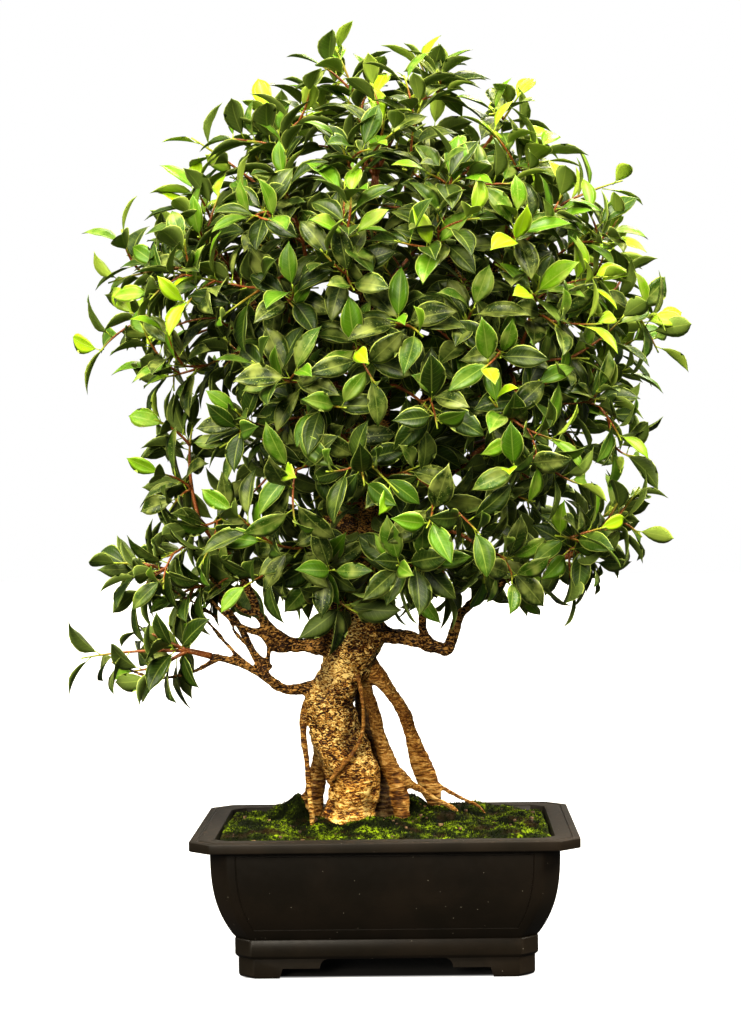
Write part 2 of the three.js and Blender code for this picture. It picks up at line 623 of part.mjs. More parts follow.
// The leaves of a shoot stand in a spiral. They spread wider and hang lower away from its tip.
function leafOf(shoot, number, turn) {
  const draw = seeded(1000 + 37 * shoot.number + 7919 * number);
  draw();
  const fromTip = LEAF_DISTANCE.first + LEAF_DISTANCE.step * number + LEAF_DISTANCE.stretch * number ** 2;
  const along = Math.max(LOWEST_LEAF, 1 - fromTip / shoot.length);
  const axis = shoot.curve.getTangent(along).add(shoot.lean).normalize();
  const azimuth = shoot.phase + number * GOLDEN_ANGLE + turn + AZIMUTH_VARY * (draw() - 0.5);
  const spread = LEAF_OPENING.first + LEAF_OPENING.step * number - LEAF_OPENING.fade * number ** 2;
  const opening = (spread + LEAF_OPENING.vary * (draw() - 0.5)) * DEGREE;
  const outward = axis.clone().cross(UP).normalize().applyAxisAngle(axis, azimuth);
  const direction = axis.clone().multiplyScalar(Math.cos(opening)).addScaledVector(outward, Math.sin(opening));
  direction.z -= LEAF_HANG.first + LEAF_HANG.step * number;
  direction.normalize();
  const upward = axis.clone().addScaledVector(outward, LEAF_FACING.twig).addScaledVector(UP, LEAF_FACING.up);
  return {
    matrix: leafMatrix(onTwig(shoot, along), direction, upward),
    size: Math.min(1, LEAF_GROWTH.first + LEAF_GROWTH.step * number) * between(LEAF_SCALE, draw()),
    fold: between(LEAF_FOLD, draw()),
    droop: between(LEAF_DROOP, draw()),
  };
}

function bladeSolid(leaf, spare = 0, start = 0) {
  return solidOf(bladeGeometry(leaf, spare, start).applyMatrix4(leaf.matrix));
}

function crosses(solid, others) {
  return others.some((other) => !solid.intersect(other).isEmpty());
}

function stemSolid(base, grown = 0) {
  const { place, heading, radius } = base;
  const top = base.fork.clone().addScaledVector(heading, TWIG_RADIUS);
  return tube([[place.x, place.y, place.z, 0.9 * radius], [top.x, top.y, top.z, 0.75 * radius]], 4, 1, grown);
}

function twigSolid(shoot, grown = 0) {
  const stations = shoot.joints.map((place, i) => {
    const radius = between([TWIG_RADIUS, TWIG_TIP_RADIUS], i / TWIG_SEGMENTS);
    return [place.x, place.y, place.z, radius];
  });
  return tube(stations, 3, TWIG_SEGMENTS, grown);
}

// A spray starts past the end of each branch, with a short stem that forks into its twigs
function makeBases(tree) {
  const bases = branches.map((stations) => {
    const base = endOf(stations);
    base.place.addScaledVector(base.heading, CLEARANCE);
    base.fork = base.place.clone().addScaledVector(base.heading, STEM_LENGTH);
    base.shoots = [];
    base.solids = [stemSolid(base)];
    return base;
  });
  return bases.filter((base) => !crosses(stemSolid(base), [tree]));
}

// Tips of the outlying shoots, and of those over the whole crown, drawn ragged below its outline
function shootTips(draw) {
  const tips = spread(CROWN_SHOOTS, 0).map((way) => {
    const scatter = point(draw() - 0.5, draw() - 0.5, draw() - 0.5).multiplyScalar(SHOOT_SCATTER);
    const ragged = way.clone().add(scatter).normalize();
    return crownPoint(ragged, crownRadius(ragged) - SHOOT_INSET - SHOOT_RAGGED * draw());
  });
  return [...OUTLYING_SHOOTS.map(([x, y, z]) => point(x, y, z)), ...tips];
}

// The twig to a tip starts at a near branch that heads its way, and takes the first line that is clear
function growTwig(tip, number, phase, bases, tree) {
  const cost = (base) => {
    const way = tip.clone().sub(base.place);
    return way.length() - HEADING_WORTH * way.normalize().dot(base.heading);
  };
  const near = [...bases].sort((a, b) => cost(a) - cost(b)).slice(0, NEAR_BRANCHES);
  for (const base of near) {
    const others = [tree, ...bases.filter((other) => other !== base).flatMap((other) => other.solids)];
    for (const detour of DETOURS) {
      const curve = twigCurve(base, tip, detour);
      const outward = tip.clone().sub(CROWN_CENTRE).normalize();
      const shoot = {
        number,
        phase,
        curve,
        joints: curve.getPoints(TWIG_SEGMENTS),
        length: curve.getLength(),
        lean: outward.multiplyScalar(SHOOT_LEAN.outward).addScaledVector(UP, SHOOT_LEAN.upward),
      };
      if (!crosses(twigSolid(shoot, CLEARANCE), others)) {
        base.shoots.push(shoot);
        base.solids.push(twigSolid(shoot));
        return;
      }
    }
  }
}

// Leaves that would meet anything but their own twig turn on their shoot until they are clear
function growLeaves(base, others) {
  for (const shoot of base.shoots) {
    for (let number = 1; number <= LEAVES_PER_SHOOT; number += 1) {
      const leaves = LEAF_TURNS.map((turn) => leafOf(shoot, number, turn));
      const clear = leaves.find((leaf) => !crosses(bladeSolid(leaf, CLEARANCE), others)
        && !crosses(bladeSolid(leaf, CLEARANCE, CLEAR_OF_TWIG), base.solids));
      if (clear) {
        base.solids.push(bladeSolid(clear));
      }
    }
  }
}

function makeSprays(tree) {
  const bases = makeBases(tree);
  const draw = seeded(77);
  shootTips(draw).forEach((tip, number) => growTwig(tip, number, 2 * Math.PI * draw(), bases, tree));
  const grown = bases.filter((base) => base.shoots.length > 0);
  for (const base of grown) {
    const others = grown.filter((other) => other !== base);
    growLeaves(base, [tree, ...others.map((other) => other.whole ?? joined(other.solids))]);
    base.whole = largest(joined(base.solids));
  }
  return grown;
}

const POT_FINISH = { color: 0x2b1d14, roughness: 0.35, metalness: 0 };
const SCREEN_FINISH = { color: 0x202420, roughness: 0.6, metalness: 0 };
const SOIL_FINISH = { color: 0x3a2a1c, roughness: 0.95, metalness: 0 };
const MOSS_FINISH = { color: 0x5d7a1e, roughness: 0.9, metalness: 0 };
const BARK_FINISH = { color: 0x9c6b34, roughness: 0.7, metalness: 0 };
const LEAF_FINISH = { color: 0x3f6420, roughness: 0.4, metalness: 0 };

const bonsai = new THREE.Group();

function addPiece(name, solid, finish) {
  const mesh = new THREE.Mesh(geometryOf(solid), new THREE.MeshStandardMaterial(finish));
  mesh.name = name;
  bonsai.add(mesh);
}

const tree = makeTree();
addPiece('pot', makePot(), POT_FINISH);
addPiece('drain_screen_left', makeScreen(-HOLE_OFFSET), SCREEN_FINISH);
addPiece('drain_screen_right', makeScreen(HOLE_OFFSET), SCREEN_FINISH);
addPiece('soil', makeSoil(), SOIL_FINISH);
addPiece('moss', makeMoss(), MOSS_FINISH);
addPiece('tree', tree, BARK_FINISH);
makeSprays(tree).forEach((spray, i) => {
  addPiece(`spray_${String(i + 1).padStart(2, '0')}`, spray.whole, LEAF_FINISH);
});

// The part stands with the middle of its base at the origin
const box = new THREE.Box3().setFromObject(bonsai);
const middle = box.getCenter(new THREE.Vector3());
bonsai.position.set(-middle.x, -middle.y, -box.min.z);

export default bonsai;
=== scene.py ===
"""Ficus bonsai in its pot: the fine form and the finishes of every surface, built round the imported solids.

Lengths in the lists below are millimetres from the middle of the pot's feet: X to the right, Y away from the
front, Z up. Pot, moss, wood and the solids' shoots follow the same lines, draws and rules as the solids do,
so each piece lies where its node is. The finished tree has more shoots and thin limbs than the solids.
"""

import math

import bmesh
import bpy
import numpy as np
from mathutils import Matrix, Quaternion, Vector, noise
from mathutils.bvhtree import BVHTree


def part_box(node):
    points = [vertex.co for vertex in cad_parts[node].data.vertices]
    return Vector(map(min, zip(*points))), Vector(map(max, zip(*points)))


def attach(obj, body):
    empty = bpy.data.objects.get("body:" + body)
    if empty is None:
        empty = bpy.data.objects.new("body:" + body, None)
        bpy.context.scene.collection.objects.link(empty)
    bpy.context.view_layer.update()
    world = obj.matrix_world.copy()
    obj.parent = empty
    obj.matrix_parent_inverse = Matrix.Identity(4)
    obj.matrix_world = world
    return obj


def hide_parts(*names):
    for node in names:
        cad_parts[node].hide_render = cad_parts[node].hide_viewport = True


bl_info = {
    "name": "Ficus bonsai",
    "version": (1, 0, 0),
    "blender": (4, 5, 0),
    "location": "3D View > Sidebar > Bonsai",
    "description": "Builds a ficus bonsai with bark, leafy sprays, moss and pot round its packed solids",
    "category": "Object",
}

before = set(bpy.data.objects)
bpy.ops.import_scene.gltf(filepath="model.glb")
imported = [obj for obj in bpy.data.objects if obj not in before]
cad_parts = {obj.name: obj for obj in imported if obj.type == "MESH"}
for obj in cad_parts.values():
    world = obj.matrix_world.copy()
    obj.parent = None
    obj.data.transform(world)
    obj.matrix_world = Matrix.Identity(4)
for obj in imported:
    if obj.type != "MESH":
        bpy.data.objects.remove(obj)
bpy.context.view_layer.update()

MM = 0.001
POT_LOW, POT_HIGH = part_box("pot")
POT_MIDDLE = Vector(((POT_LOW.x + POT_HIGH.x) / 2, (POT_LOW.y + POT_HIGH.y) / 2, POT_LOW.z))
SPRAY_NODES = sorted(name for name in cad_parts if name.startswith("spray_"))

# Pot, with its sizes from the solid's box and the profile of its walls
RIM_HALF_WIDTH = (POT_HIGH.x - POT_LOW.x) / 2 / MM
RIM_HALF_DEPTH = (POT_HIGH.y - POT_LOW.y) / 2 / MM
POT_HEIGHT = (POT_HIGH.z - POT_LOW.z) / MM
HALF_DIFFERENCE = RIM_HALF_WIDTH - RIM_HALF_DEPTH
RIM_BAND = 9.5
RIM_BREADTH = 23
RIM_CORNER = 19.5
RIM_OVERHANG = 18
BODY_CORNER = 16
BODY_TAPER = 21
BODY_CURVE = 2.8
BASE_HEIGHT = 37
BASE_STEP = 0.4
FOOT_HEIGHT = 18.5
FOOT_INSET = 3
FOOT_LENGTH = 38.5
FOOT_RISE = 3.5
FOOT_BEVEL = 3
LEDGE_LENGTH = 34.5
LEDGE_HEIGHT = 9.6
LEDGE_RISE = 8
FOOT_THICKNESS = 13
FLOOR_THICKNESS = 9.5
WALL = 7
GROOVE_INSET = 6.5
GROOVE_WIDTH = 1.6
GROOVE_DEPTH = 0.9
SOFT_EDGE = 1.2
WALL_RINGS = np.linspace(0, 1, 15)[1:-1] ** 1.3
# Fine line round the panel on each face of the body
PANEL_BOTTOM = 47
PANEL_INSET = 25
PANEL_LINE = 0.8
SHARP_ANGLE = 28
HOLE_RADIUS = 12
HOLE_OFFSET = 75
BODY_HALF = RIM_HALF_WIDTH - RIM_OVERHANG
INNER_HALF = RIM_HALF_WIDTH - RIM_BREADTH
BAND_BOTTOM = POT_HEIGHT - RIM_BAND
PANEL_TOP = BAND_BOTTOM - 5
FLOOR_TOP = FOOT_HEIGHT + FLOOR_THICKNESS

# Moss, whose swell and mounds are the solid's own, and the gap between the solids
CLEARANCE = 0.35
SOIL_TOP = 118
MOSS_EDGE = 126
MOSS_RISE = 7
MOSS_MOUNDS = 30
MOUND_SEED = 41
MOUND_MARGIN = 14
MOUND_BREADTH = (13, 26)
MOUND_HEIGHT = (3, 8)
MOSS_SWELL = {"x": -10, "y": 15, "breadth": 95, "depth": 70}
ROOT_MOUNDS = ((-86, 38, 15, 24), (-104, 46, 14, 9), (24, 48, 22, 15), (62, 52, 16, 7), (-20, -52, 20, 3))
# Cushions on the mounds: rounded lumps, cells with a crease between them and fine crumbs
CUSHION_LUMPS = {"breadth": 19, "depth": 15, "height": 5.4}
CUSHION_CELLS = {"breadth": 12, "depth": 10, "height": 3.2, "level": 0.6}
CUSHION_CRUMBS = {"size": 2.6, "height": 0.8}
CUSHION_SINK = 2.8
LIFT_FOOT = 0.9
LIFT_SPAN = 3.8
WALL_SWELL = {"height": 2.4, "fade": 14}
WALL_ROUNDING = {"height": 2.2, "fade": 2}
# Stalks that stand out of the mat, and how much brighter than the mat they are on its ramp from painted shade
# to the light tips
TUFT_SEED = 7
TUFT_INSET = 1.5
TUFT_SINK = 0.6
TUFT_SCATTER = 0.8
TUFT_HEIGHT = (1.4, 3.2)
TUFT_LEAN = 0.45
TUFT_BREADTH = (0.45, 0.8)
TUFT_BRIGHTER = (-0.1, 0.35)
# Grains of grit, with half their size and how far their sides and corners differ
GRIT_SEED = 19
GRIT_COUNT = 90
GRIT_INSET = 6
GRIT_RISE = 0.4
GRIT_SIZE = (0.7, 1.9)
GRIT_STRETCH = (0.6, 1.3)
GRIT_WEAR = (0.7, 1.0)

# Crown and shoots. What is called close belongs to the filling shoots, whose leaves stand closer together.
CROWN_CENTRE = Vector((8, 0, 598))
CROWN_DEPTH_RATIO = 0.82
CROWN_SHOOTS = 45
SHOOT_SEED = 77
SHOOT_INSET = 28
SHOOT_RAGGED = 24
SHOOT_SCATTER = 0.16
SHOOT_LEAN = {"outward": 0.5, "upward": 0.35}
SHOOT_LEAN_CLOSE = {"outward": 0.55, "upward": 0.6}
INNER_BASES = 15
INNER_TURN = 0.6
INNER_REACH = 0.46
INNER_FOOT_RADIUS = 6.5
INNER_TIP_RADIUS = 3.1
BRANCH_SAG = 0.12
DOWNWARD_COST = 1.2
CLIMB = 25
STEM_LENGTH = 22
TWIG_RADIUS = 2.1
TWIG_TIP_RADIUS = 1.1
TWIG_SEGMENTS = 2
TWIG_BEND = {"share": 0.35, "heading": 0.2}
HEADING_WORTH = 40
NEAR_BRANCHES = 3
DETOURS = [Vector(d) for d in
           ((0, 0, 0), (0, 0, 26), (0, 0, -26), (26, 0, 0), (-26, 0, 0), (0, 26, 0), (0, -26, 0))]

# Leaves, with their outline as shares of their length and half width
LEAF_LENGTH = 50
LEAF_WIDTH = 25
LEAF_MIDDLE = 0.55
LEAF_TIP = 0.98
LEAF_ARCH = 0.16
LEAF_FOLD = (0.24, 0.44)
LEAF_DROOP = (0.05, 0.21)
LEAF_SCALE = (0.9, 1.12)
LEAVES_PER_SHOOT = 5
LEAF_DISTANCE = {"first": 2, "step": 7, "stretch": 1.2}
LEAF_DISTANCE_CLOSE = {"first": 1.5, "step": 4.6, "stretch": 0.8}
LOWEST_LEAF = 0.25
LEAF_OPENING = {"first": 28, "step": 13, "fade": 0.9, "vary": 10}
LEAF_OPENING_CLOSE = {"first": 26, "step": 14, "fade": 0.8, "vary": 18}
LEAF_HANG = {"first": 0.05, "step": 0.04}
LEAF_HANG_CLOSE = {"first": -0.2, "step": 0.035}
LEAF_GROWTH = {"first": 0.62, "step": 0.16}
LEAF_FACING = {"twig": -0.4, "up": 0.7, "out": 0}
LEAF_FACING_CLOSE = {"twig": -0.3, "up": 0.6, "out": 0.9}
AZIMUTH_VARY = 0.3
LEAF_TURNS = (0, 0.35, -0.35, 0.7, -0.7, 1.05, -1.05)
BLADE_OUTLINE = ((0.14, 0.04), (0.21, 0.27), (0.31, 0.62), (0.43, 0.89), (0.56, 1.0), (0.69, 0.93),
                 (0.8, 0.7), (0.885, 0.38), (0.945, 0.13), (1.0, 0.0))
BLADE_BREADTH = (0.76, 0.94)
BLADE_ACROSS = (-1, -0.52, 0, 0.52, 1)
BLADE_BEND = 0.22
BLADE_TWIST = 0.9
TIP_START = 0.82
TIP_CURL = 0.9
CUP_EASE = 0.35
EDGE_WAVE = 0.05
# Stations of a leaf's stalk, as share of the leaf's length and radius
STALK_STATIONS = ((0, 0.75), (0.08, 0.6), (0.19, 0.45))
# Corners round, and rings along, the stems of the sprays and the finished twigs
STEM_SIDES = 8
STEM_RINGS = 4
TWIG_SIDES = 6
TWIG_RINGS = 12
TWIG_END_RADIUS = 0.8

UP = Vector((0, 0, 1))
GOLDEN_ANGLE = math.pi * (3 - math.sqrt(5))

# The crown's outline as radii from its centre, for each 15 degrees from straight down to straight up
OUTLINE_LEFT = (268, 278, 296, 318, 276, 246, 266, 276, 268, 254, 266, 276, 272)
OUTLINE_RIGHT = (268, 272, 300, 324, 290, 243, 264, 252, 276, 246, 277, 278, 272)
OUTLINE_STEP = math.radians(15)

# Skin of the wood. Sizes and heights of its patterns are in millimetres.
RIB_HEIGHT = 0.084
TRUNK_SIDES = 20
BRANCH_SIDES = 12
RING_SPACING = 5
GRANULE_SIZE = 4.2
RING_LENGTH = 11
RING_HEIGHT = 3.2
BARK_FRACTAL = (0.6, 2.2, 3)
SWELL_SIZE = 22
SWELL_LIFT = 2.4
KNOT_SIZE = 9
KNOT_LIFT = 0.9
# Heights under which bark turns to rings and the foot's dents take painted shade, and over how far they fade
# in
RING_ZONE = {"top": 225, "fade": 60}
TRUNK_FOOT_SHADE = {"top": 168, "fade": 45}
# How many points look for their nearest line at a time, to spare memory
BATCH = 4000

# Wood, as stations of x, y, z and radius
TRUNK = ((-38, 2, 100, 33), (-37, 0, 129, 28), (-33, 0, 150, 22.7), (-30, 0, 172, 24.2), (-37, -1, 188, 24.2),
         (-44, -2, 208, 25.1), (-50, -2, 227, 23.7), (-54, -2, 247, 24.1), (-47, -1, 263, 21.7),
         (-42, 0, 276, 19.5), (-34, 0, 293, 25), (-29, 0, 314, 30.5), (-29, 0, 334, 29), (-32, 2, 358, 24))
ROOTS = (
    # Big aerial root on the right, and the thinner one grown together with it
    ((-20, 3, 291, 13), (-15, 4, 284, 9.6), (-3, 8, 268, 7.4), (9, 14, 252, 6.4), (18, 20, 236, 6.3),
     (23, 27, 219, 6.5), (30, 33, 202, 6.7), (37, 39, 186, 6.8), (43, 45, 169, 6.8), (47, 50, 152, 6.4),
     (50, 54, 108, 5.4)),
    ((19, 27, 226, 2), (25, 37, 190, 3.6), (31, 42, 172, 3.9), (36, 46, 158, 3.9), (42, 50, 144, 3.5),
     (45, 51, 112, 3.2)),
    # Thin aerial root down the left side
    ((-66, -8, 258, 6.7), (-77, -14, 238, 4.4), (-78, -17, 218, 3.4), (-75, -19, 194, 3),
     (-73, -20, 165, 2.8), (-71, -20, 144, 2.7), (-70, -18, 112, 2.4)),
    # Thick root behind the trunk on the left, which spreads over the moss
    ((-58, 14, 218, 9.7), (-64, 24, 193, 8.6), (-68, 30, 173, 8.6), (-71, 34, 153, 10), (-76, 37, 116, 12)),
    ((-74, 33, 156, 5.4), (-88, 42, 143, 5), (-102, 50, 133, 4.2), (-116, 55, 118, 3.4)),
    # Thin root that crosses the front of the trunk
    ((-25, -14, 276, 3), (-21, -24, 253, 2.4), (-20, -26, 234, 2.3), (-22, -28, 218, 2.3),
     (-31, -30, 201, 2.3), (-43, -30, 187, 2.3), (-54, -24, 174, 2.3)),
    # Root behind the trunk that painted shade darkens, the ribbed root behind the trunk, and the foot that
    # runs to the right
    ((-24, 16, 282, 8), (-22, 22, 248, 7.6), (-17, 26, 218, 8.6), (-9, 28, 188, 11), (-3, 26, 160, 14.6),
     (0, 24, 112, 16)),
    ((-25, 8, 288, 7), (-18, 10, 262, 5.4), (-12, 12, 243, 5.4), (-7, 14, 222, 6), (-1, 15, 202, 7),
     (6, 16, 182, 9), (12, 16, 162, 9.4), (15, 16, 114, 9)),
    ((14, 16, 176, 6.4), (23, 22, 166, 4.4), (34, 28, 159, 3.2), (46, 34, 150, 3), (66, 38, 138, 2.7),
     (80, 40, 118, 2.6)),
    # Very thin root that leaves the big aerial root
    ((44, 49, 166, 2.6), (56, 54, 157, 2.1), (72, 60, 147, 2), (92, 66, 136, 1.8), (102, 68, 120, 1.7)),
)
# How smooth the skin of each root is against the trunk's, and how much painted shade darkens it
ROOT_SKINS = ((0.8, 0), (0.8, 0.25), (0.4, 0.1), (0.5, 0.5), (0.6, 0.3), (1, 0.15), (0.6, 0.88), (0.8, 0.12),
              (0.7, 0.1), (0.8, 0.1))
LIMBS = (
    # Leader, left, right, front and back stems, all hidden in the crown
    ((-32, 2, 345, 21), (-27, 0, 420, 15), (-25, -2, 510, 11), (-14, 0, 620, 8), (-4, 0, 730, 4.6)),
    ((-38, 2, 346, 16), (-47, 6, 430, 11), (-58, 8, 500, 9), (-92, 10, 580, 7), (-126, 10, 640, 4.4)),
    ((-24, 0, 345, 17), (0, -4, 420, 12), (22, -6, 480, 10), (48, -4, 540, 8.5), (86, 0, 605, 6),
     (112, 2, 665, 4.2)),
    ((-28, -4, 340, 15), (-14, -38, 410, 10), (0, -76, 490, 8), (10, -98, 575, 4.6)),
    ((-28, 8, 340, 15), (-22, 44, 410, 10), (-14, 84, 490, 8), (0, 104, 585, 4.6)),
    # Low branch on the left, with its fork that rises
    ((-50, -4, 266, 13), (-69, -6, 263, 7.4), (-95, -10, 262, 5), (-117, -16, 277, 4.4),
     (-141, -22, 290, 3.8), (-164, -26, 296, 3.4)),
    ((-112, -14, 272, 4), (-126, -10, 298, 3.6), (-138, -6, 322, 3.3), (-154, -4, 344, 3)),
    # Upper branch on the left
    ((-44, -4, 306, 14), (-71, -6, 304, 8.2), (-90, -10, 306, 6.7), (-111, -14, 322, 5.8),
     (-122, -18, 344, 4.8), (-138, -22, 379, 4.2), (-160, -26, 408, 3.5)),
    # Stub at the trunk's shoulder
    ((-50, -10, 306, 8), (-54, -18, 326, 5.8), (-48, -22, 346, 4.8), (-54, -36, 384, 3.4)),
    # Bent branch on the right, with its fork
    ((-18, 0, 319, 15), (7, -4, 313, 8.4), (31, -8, 308, 6.9), (49, -12, 301, 6.4), (61, -14, 299, 6.3),
     (66, -16, 311, 5.8), (73, -18, 331, 4.9), (94, -20, 350, 4.2), (128, -24, 370, 3.7),
     (168, -22, 384, 3.2)),
    ((44, -12, 303, 5.2), (38, -16, 318, 4.3), (40, -22, 350, 3.8), (56, -30, 392, 3.2)),
)

# Leafy shoots that stand out of the crown's outline, as x, y and z of their tips
OUTLYING_SHOOTS = (
    (-288, -34, 296), (-236, -16, 326), (-226, -44, 270), (-192, -6, 300), (-262, -24, 386), (-200, -24, 350),
    (-62, -84, 352), (30, -84, 352), (120, -60, 362), (206, -24, 372),
    (-262, 6, 656), (-180, 14, 796), (-40, -6, 880), (64, 8, 862), (138, -12, 830), (234, -16, 744),
    (270, -14, 606), (246, -20, 452),
)

# Shoots that only the finished tree has: how many stand in each shell of the crown, the shell's reach as a
# share of the outline, how far they may fall short of it, how young their leaves are, and the spread's turn
FILLING_SHELLS = (
    {"count": 330, "reach": 0.95, "ragged": 0.12, "youth": 1.0, "turn": 1.1},
    {"count": 140, "reach": 0.74, "ragged": 0.14, "youth": 0.35, "turn": 2.3},
    {"count": 40, "reach": 0.5, "ragged": 0.16, "youth": 0.1, "turn": 0.4},
)
TIP_DEPTHS = (-172, 160)
LOW_BOUGHS = (
    {"centre": (-214, -20, 305), "reach": (62, 44, 34), "count": 5, "turn": 0.2},
    {"centre": (-190, -12, 372), "reach": (70, 60, 30), "count": 14, "turn": 1.7},
)
HANGING_SHOOTS = ((-58, -62, 352), (-22, -78, 338), (-36, -40, 345), (66, -42, 352), (112, -48, 350))
# Tips of the shoots that stand out of the filled crown
EDGE_SHOOTS = (
    (-246, -10, 706), (-272, -14, 584), (-222, -30, 266), (222, -24, 370), (182, -30, 350), (248, -16, 404),
    (252, -14, 742), (266, -14, 580), (92, -8, 832), (40, -8, 866), (-56, -8, 862),
)
# How near their bough's outline its shoots end, and how young the leaves of these shoots are
BOUGH_CORE = 0.7
BOUGH_RAGGED = 0.3
SHOOT_YOUTH = {"bough": 0.7, "hanging": 0.4, "edge": 0.9}
FILLING_SEED = 2024
FILLING_NUMBER = 500
FILLING_LEAVES = 7
LONG_SHOOT = 60
TIP_SPACING = 24
# Where on twigs, branches and other filling shoots a filling shoot may start, and its radius there
TWIG_FEET = {"shares": (0.3, 0.45, 0.6, 0.75), "radius": 1.5}
BRANCH_FEET = {"shares": (0.45, 0.6, 0.75, 0.9), "radius": 2.2, "lowest": 360}
FILLING_FEET = {"shares": (0.4, 0.65), "radius": 1.2}
FOOT_COST = {"any way": 1.5, "outward": 0.5, "upward": 0.3, "short": 80, "shortest": 35}
THIN_SIDE = {"x": -150, "low": 330, "high": 560, "share": 0.55}
# Leaves near the top and the sides of the crown, the right side most, are younger and paler than those near
# its foot
# and its middle: partly the real youth of outer growth and partly painted light, paler where light falls.
YOUTH_AND_LIGHT_BY_HEIGHT = {"low": 330, "high": 830, "least": 0.55, "most": 1.15}
YOUTH_AND_LIGHT_BY_SIDE = {"near": 80, "far": 270, "left": 1.2, "middle": 0.85, "right": 1.75}
# How young a shoot's first leaf is where its draw is over a limit, and how age goes on along the shoot
VIGOUR = ((0.76, 0.92), (0.35, 0.6), (-1, 0.34))
YOUTH_STEP = 0.24
YOUTH_VARY = 0.3

# Thin arms and risers that only the finished tree has, as stations like those of the limbs
FINE_LIMBS = (
    # Lower arm of the upper branch on the left, and a side arm
    ((-84, -8, 304, 5), (-103, -14, 302, 4.4), (-117, -18, 317, 3.8), (-131, -22, 321, 3.2),
     (-150, -26, 335, 2.6), (-166, -30, 352, 2.2)),
    ((-116, -16, 332, 3.4), (-132, -20, 338, 2.8), (-146, -24, 349, 2.5), (-156, -26, 362, 2.2),
     (-172, -28, 380, 2)),
    # Risers of the low bough, and the twigs that carry its leaves
    ((-116, -16, 278, 3), (-131, -18, 287, 2.4), (-150, -20, 307, 2.1), (-164, -22, 324, 2),
     (-178, -24, 342, 1.8)),
    ((-108, -14, 283, 2.6), (-121, -16, 296, 2), (-134, -18, 309, 1.9), (-143, -20, 320, 1.8),
     (-150, -22, 344, 1.6)),
    ((-112, -15, 281, 2.4), (-110, -18, 300, 1.9), (-111, -20, 318, 1.7), (-116, -22, 336, 1.5)),
    ((-158, -25, 294, 2.8), (-181, -28, 282, 2.2), (-217, -30, 276, 2), (-241, -32, 284, 1.7),
     (-260, -34, 292, 1.4)),
    ((-158, -22, 332, 2), (-180, -24, 347, 1.8), (-203, -26, 361, 1.7), (-227, -28, 378, 1.5),
     (-243, -30, 388, 1.2)),
)

# Stage, with the camera's place and turns in degrees, and each light's side and width in degrees. The floor
# reaches 9 m. It has a painted shadow under the pot, with a soft edge, and glows elsewhere.
FLOOR_REACH = 9
FLOOR_GLOW = 0.85
FLOOR_SHADE = 14
FLOOR_PAINTED_SHADOW = "#1c1b19"
FLOOR_GREY = "#959595"
WHITE = "#ffffff"
GROUND_SHARE = 0.2
VIEW_GAMMA = 0.9
VIEW_REACH = 50
SENSOR_WIDTH = 36
CAMERA_PLACE = Vector((43.5, -2318, 462))
CAMERA_YAW = 1.35
CAMERA_DOWN = 0.76
CAMERA_ROLL = 0.8
LIGHTS = {
    "top": {"side": (-0.3, -0.45, 1.15), "width": 16},
    "front": {"side": (-0.3, -1, 0.34), "width": 20},
    "left": {"side": (-0.9, -0.2, 0.75), "width": 24},
    "right": {"side": (0.85, -0.25, 0.9), "width": 24},
    "back": {"side": (0.25, 1, 0.9), "width": 24},
}

# Settings of a Mix node for colours, and its inputs for the factor and the two colours
COLOURS = {"out": 2, "data_type": "RGBA"}
FACTOR, FIRST, SECOND = 0, 6, 7
# Settings of a Map Range node that rises smoothly from 0 at its From Min to 1 at its From Max
SMOOTH = {"interpolation_type": "SMOOTHSTEP", "clamp": True}


def linear(code):
    """Linear red, green and blue of an sRGB hex colour."""
    channels = [int(code[i:i + 2], 16) / 255 for i in (1, 3, 5)]
    return [c / 12.92 if c <= 0.04045 else ((c + 0.055) / 1.055) ** 2.4 for c in channels]


def opaque(colour):
    """Hex or linear colour as four linear parts."""
    return (*(linear(colour) if isinstance(colour, str) else colour), 1.0)


def seeded(seed):
    """Park-Miller generator, so that every draw is the same in each run."""
    state = seed

    def draw():
        nonlocal state
        state = state * 16807 % 2147483647
        return state / 2147483647

    return draw


def between(limits, share):
    return limits[0] + (limits[1] - limits[0]) * share


def to_frame(points):
    """Places in millimetres from the pot's middle, as places in metres in the row's frame."""
    return np.asarray(points, float) * MM + np.array(POT_MIDDLE)


# Meshes

def make_mesh(name, points, faces, materials, slots=None, attributes=None):
    """Object with smooth faces. Faces is a list of arrays, each with one count of corners, and slots has one
    material number for each array. An attribute holds one number or one vector for each point."""
    mesh = bpy.data.meshes.new(name)
    points = to_frame(points)
    corners = np.concatenate([np.asarray(f).ravel() for f in faces])
    counts = np.concatenate([np.full(len(f), np.shape(f)[1]) for f in faces])
    mesh.vertices.add(len(points))
    mesh.vertices.foreach_set("co", points.astype(np.float32).ravel())
    mesh.loops.add(len(corners))
    mesh.loops.foreach_set("vertex_index", corners.astype(np.int32))
    mesh.polygons.add(len(counts))
    mesh.polygons.foreach_set("loop_start", (np.cumsum(counts) - counts).astype(np.int32))
    if slots is not None:
        numbers = np.concatenate([np.full(len(f), slot) for f, slot in zip(faces, slots)])
        mesh.polygons.foreach_set("material_index", numbers.astype(np.int32))
    for key, values in (attributes or {}).items():
        values = np.asarray(values, np.float32)
        kind, field = ("FLOAT_VECTOR", "vector") if values.ndim == 2 else ("FLOAT", "value")
        mesh.attributes.new(key, kind, "POINT").data.foreach_set(field, values.ravel())
    mesh.update(calc_edges=True)
    mesh.validate()
    mesh.polygons.foreach_set("use_smooth", np.ones(len(mesh.polygons), bool))
    for material in materials:
        mesh.materials.append(material)
    made = bpy.data.objects.new(name, mesh)
    bpy.context.scene.collection.objects.link(made)
    return made


def apply_modifiers(piece):
    """The piece's mesh becomes the one that its modifiers give."""
    graph = bpy.context.evaluated_depsgraph_get()
    mesh = bpy.data.meshes.new_from_object(piece.evaluated_get(graph))
    piece.modifiers.clear()
    old = piece.data
    piece.data = mesh
    bpy.data.meshes.remove(old)
    return piece


